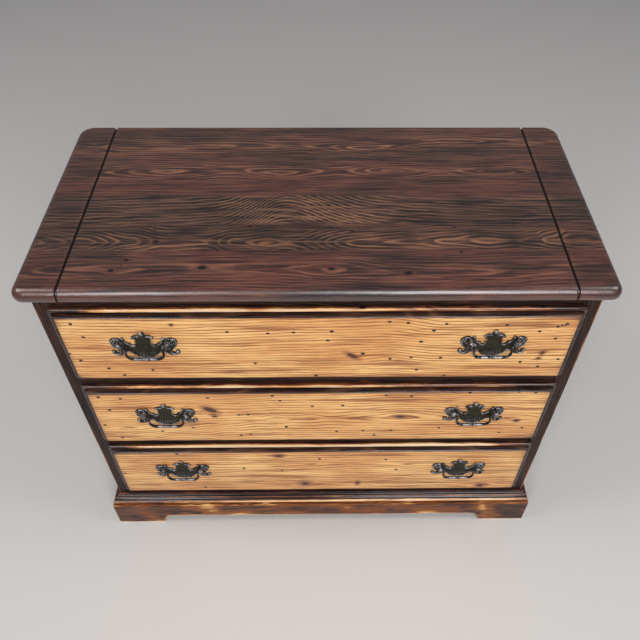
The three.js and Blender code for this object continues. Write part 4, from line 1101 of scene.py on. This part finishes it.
# A round bar along a path in an upright plane: its circle turns with the path.
def barShell(path, radius, level, sides=10, flat=1.0):
    tangent = np.gradient(path, axis=0)
    tangent /= np.linalg.norm(tangent, axis=1, keepdims=True)
    angle = np.linspace(0, 2 * np.pi, sides, endpoint=False)
    side, out = radius[:, None] * np.cos(angle), level + flat * radius[:, None] * np.sin(angle)
    across, up = path[:, :1] - tangent[:, 1:] * side, path[:, 1:] + tangent[:, :1] * side
    return loftShell(np.stack([across, out, up], -1))


def taperedRib(points, radius, level):
    path = smoothRun(points, 7)
    share = np.linspace(-1, 1, len(path))
    return barShell(path, radius * np.sqrt(np.clip(1 - share ** 6, 0, 1)) + 1e-4, level, 10, 0.95)


# The plate with its chamfered edge, then the crown, spine, ribs and balls that stand on it.
def backplateShell():
    p = pull
    runs = [smoothRun(run, p["samples"])[:-1] for run in p["outline"]]
    right = np.concatenate(runs + [[[0.0, 0.0]]]) * [p["halfWidth"], p["rise"] + p["drop"]] - [0, p["drop"]]
    outline = np.concatenate([right, right[1:-1][::-1] * [-1, 1]])
    sides = [outline - np.roll(outline, 1, axis=0), np.roll(outline, -1, axis=0) - outline]
    tangent = sum(side / np.linalg.norm(side, axis=1, keepdims=True) for side in sides)
    tangent /= np.maximum(np.linalg.norm(tangent, axis=1, keepdims=True), 1e-6)
    inward = np.column_stack([tangent[:, 1], -tangent[:, 0]])
    level = -p["gap"] - p["plate"]
    rings, raised = [np.insert(outline, 1, -p["gap"], axis=1)], [np.full(len(outline), 0.2)]
    for distance, fall, rubbed in p["chamfer"]:
        rings.append(np.insert(outline + inward * distance, 1, level + fall, axis=1))
        raised.append(np.full(len(outline), rubbed))
    spineRadius, spine = p["spine"]
    reliefs = [ballShell(*p["crown"], level + 0.4), taperedRib(spine, spineRadius, level)]
    for side in (1, -1):
        reliefs += [taperedRib(np.array(path) * [side, 1], radius, level) for radius, path in p["ribs"]]
        reliefs += [ballShell(side * across, up, radius, level + 0.3) for across, up, radius in p["balls"]]
    raised += [np.ones(len(points)) for points, _ in reliefs]
    return joinShells([loftShell(np.array(rings)), *reliefs]), np.concatenate(raised)


# A bolt turned about its own axis: nut, shank, collar, neck and round head.
def postShell():
    p = pull
    inside, foot, nut, collar = p["frontInside"], 2 * p["gap"] + p["plate"], p["nut"], p["collar"]
    tail, shoulder = -inside - p["nutHeight"], foot + p["collarHeight"]
    neckAngle = math.asin(p["neck"] / p["head"])
    head = halfRound(0, 0, p["head"], neckAngle - np.pi / 2, np.pi / 2, 14)
    head[:, 1] = p["pivot"] + np.where(head[:, 1] > 0, p["headFlat"], 1.0) * head[:, 1]
    profile = np.concatenate([[
        [0, tail], [nut - 0.5, tail], [nut, tail + 0.5], [nut, -inside - 0.01],
        [p["shank"], -inside], [p["shank"], foot], [collar - 0.3, foot], [collar, foot + 0.4],
        [collar - 0.1, foot + 0.9], [collar - 0.7, shoulder], [p["neck"] + 0.3, shoulder + 0.1],
    ], head])
    turn = np.linspace(0, 2 * np.pi, p["postSides"], endpoint=False)
    reach, out = profile[:, :1], -profile[:, 1:]
    return loftShell(np.stack([reach * np.cos(turn), out + 0 * turn, reach * np.sin(turn)], -1))


# The bail's pin turns in a blind hole: a short round bar is cut out of the head.
def borePost(post, side):
    turn = np.linspace(0, 2 * np.pi, pull["socketSides"], endpoint=False)
    across = -side * np.array([[pull["head"] + 2], [pull["socketEnd"]]]) + 0 * turn
    out = pull["socket"] * np.cos(turn) - pull["pivot"] + 0 * across
    drill = loftShell(np.stack([across, out, pull["socket"] * np.sin(turn) + 0 * across], -1))
    made = [newObject(word, newMesh(word, shell, {})) for word, shell in (("post", post), ("drill", drill))]
    cut = made[0].modifiers.new("socket", "BOOLEAN")
    cut.operation, cut.object, cut.solver = "DIFFERENCE", made[1], "EXACT"
    bored = made[0].evaluated_get(bpy.context.evaluated_depsgraph_get()).to_mesh()
    points = np.empty(len(bored.vertices) * 3)
    bored.vertices.foreach_get("co", points)
    faces = [list(face.vertices) for face in bored.polygons]
    for holder in made:
        bpy.data.objects.remove(holder)
    return points.reshape(-1, 3) / mm, faces


# Half of the bail from the middle of the grip: ringed grip, round corner, arm, pin; then mirrored.
def bailShell():
    p = pull
    corner, elbowX = p["bailHalfSpan"] - p["cornerRadius"], p["bailHalfSpan"] + p["bendRadius"]
    ringEnd = p["rings"] * p["ringPitch"] / 2
    grip = np.append(np.arange(0, ringEnd, p["ringCell"]), np.linspace(ringEnd, corner, 9)[:-1])
    bulge = 0.5 + 0.5 * np.cos(2 * np.pi * grip / p["ringPitch"])
    bulge = np.where(grip < ringEnd, (p["ring"] - p["grip"]) * bulge ** 0.8 - 0.15, 0.0)
    bend = halfRound(corner, p["cornerRadius"] - p["bailDrop"], p["cornerRadius"], -np.pi / 2, 0, 12)
    arm = np.column_stack([np.full(5, p["bailHalfSpan"]), np.linspace(bend[-1, 1], -p["bendRadius"], 6)[1:]])
    elbow = halfRound(elbowX, -p["bendRadius"], p["bendRadius"], np.pi, np.pi / 2, 6)[1:]
    pin = [[elbowX + p["pinReach"] - 0.3, 0], [elbowX + p["pinReach"], 0]]
    path = np.concatenate([np.column_stack([grip, 0 * grip - p["bailDrop"]]), bend, arm, elbow, pin])
    radius = np.concatenate([
        p["grip"] + bulge, np.linspace(p["grip"], p["arm"], len(bend) + len(arm)),
        np.linspace(p["arm"], p["pin"], len(elbow) + 1)[1:], [p["pin"], p["pin"] - 0.3],
    ])
    path = np.concatenate([path[:0:-1] * [-1, 1], path])
    radius = np.concatenate([radius[:0:-1], radius])
    raised = np.repeat(0.75 + 0.25 * (np.abs(path[:, 0]) < corner), p["bailSides"])
    return barShell(path, radius, -p["pivot"], p["bailSides"]), raised


def addPulls():
    plate, bail, post = backplateShell(), bailShell(), postShell()
    posts = {"left": borePost(post, -1), "right": borePost(post, 1)}

    def addCast(word, node, shell, raised, place, body, smoothAngle):
        shell = shell[0] + place, shell[1]
        addPiece(f"{word}_{node}", bronze, shell, {"raised": raised}, node, body, smoothAngle)

    for name in drawerNames:
        frontLow, frontHigh = nodeBox(f"{name}_drawer_front")
        for hand, side in (("left", -1), ("right", 1)):
            base = f"{name}_pull_{hand}"
            pinLow, pinHigh = nodeBox(f"{base}_post_left")
            across = side * (frontHigh[0] - pull["inset"])
            place = np.array([across, frontLow[1], (pinLow[2] + pinHigh[2]) / 2])
            addCast("cast", f"{base}_backplate", *plate, place, f"{name}_drawer", 60)
            addCast("bent", f"{base}_bail", *bail, place, f"{name}_{hand}_bail", 60)
            for end, offset in (("left", -pull["postHalf"]), ("right", pull["postHalf"])):
                spot = place + [offset, 0, 0]
                addCast("turned", f"{base}_post_{end}", posts[end], 0.95, spot, f"{name}_drawer", 50)


addPulls()
print("pulls made")


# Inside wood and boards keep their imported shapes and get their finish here.

def coverNodes(material, *nodes):
    for node in nodes:
        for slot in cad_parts[node].material_slots:
            slot.material = material


insidePineX = plainPineMaterial("inside_pine_long_grain", 0)
insidePineY = plainPineMaterial("inside_pine_side_grain", 1)
hardboard = hardboardMaterial("hardboard")
for name in drawerNames:
    coverNodes(insidePineY, *(f"{name}_drawer_{part}" for part in ("side_left", "side_right", "guide")))
    coverNodes(insidePineX, f"{name}_drawer_back")
    coverNodes(hardboard, f"{name}_drawer_bottom")
coverNodes(hardboard, "back_panel")
coverNodes(insidePineX, "bottom_panel", "plinth_back")
print("inside pieces finished")


# Floor and light

floorReach = 14.0
floorColour = paint(206, 203, 200)
skyColour = (0.93, 0.95, 1.0, 1.0)
skyStrength = 0.2
lights = {
    "highLeft": {"place": (-2.2, -0.4, 3.1), "aim": (0, 0, 0.6), "size": (1.2, 1.4), "power": 32},
    "highRight": {"place": (2.2, -0.4, 3.1), "aim": (0, 0, 0.6), "size": (1.2, 1.4), "power": 28},
    "frontLeft": {"place": (-1.3, -3.0, 2.75), "aim": (0, -0.2, 0.55), "size": (0.7, 2.0), "power": 40},
    "frontRight": {"place": (0.9, -3.0, 2.75), "aim": (0, -0.2, 0.55), "size": (1.4, 2.0), "power": 80},
}


def addFloor():
    mesh = bpy.data.meshes.new("floor")
    corners = [(x * floorReach, y * floorReach, 0) for x, y in ((-1, -1), (1, -1), (1, 1), (-1, 1))]
    mesh.from_pydata(corners, [], [(0, 1, 2, 3)])
    material = bpy.data.materials.new("pale_floor")
    material.use_nodes = True
    shader = material.node_tree.nodes["Principled BSDF"]
    shader.inputs["Base Color"].default_value = floorColour
    shader.inputs["Roughness"].default_value = 0.85
    mesh.materials.append(material)
    newObject("floor", mesh)


def addLights():
    for name, setting in lights.items():
        lamp = bpy.data.lights.new(name, "AREA")
        lamp.shape = "RECTANGLE"
        lamp.size, lamp.size_y = setting["size"]
        lamp.energy = setting["power"]
        holder = newObject(name, lamp)
        back = np.array(setting["place"]) - setting["aim"]
        back = back / np.linalg.norm(back)
        right = np.cross([0, 0, 1], back)
        right = right / np.linalg.norm(right)
        setPose(holder, right, np.cross(back, right), back, setting["place"])
        holder.visible_camera = False
    world = bpy.data.worlds.new("studio")
    bpy.context.scene.world = world
    world.use_nodes = True
    sky = world.node_tree.nodes["Background"]
    sky.inputs["Color"].default_value = skyColour
    sky.inputs["Strength"].default_value = skyStrength


addFloor()
addLights()
print("floor and lights placed")
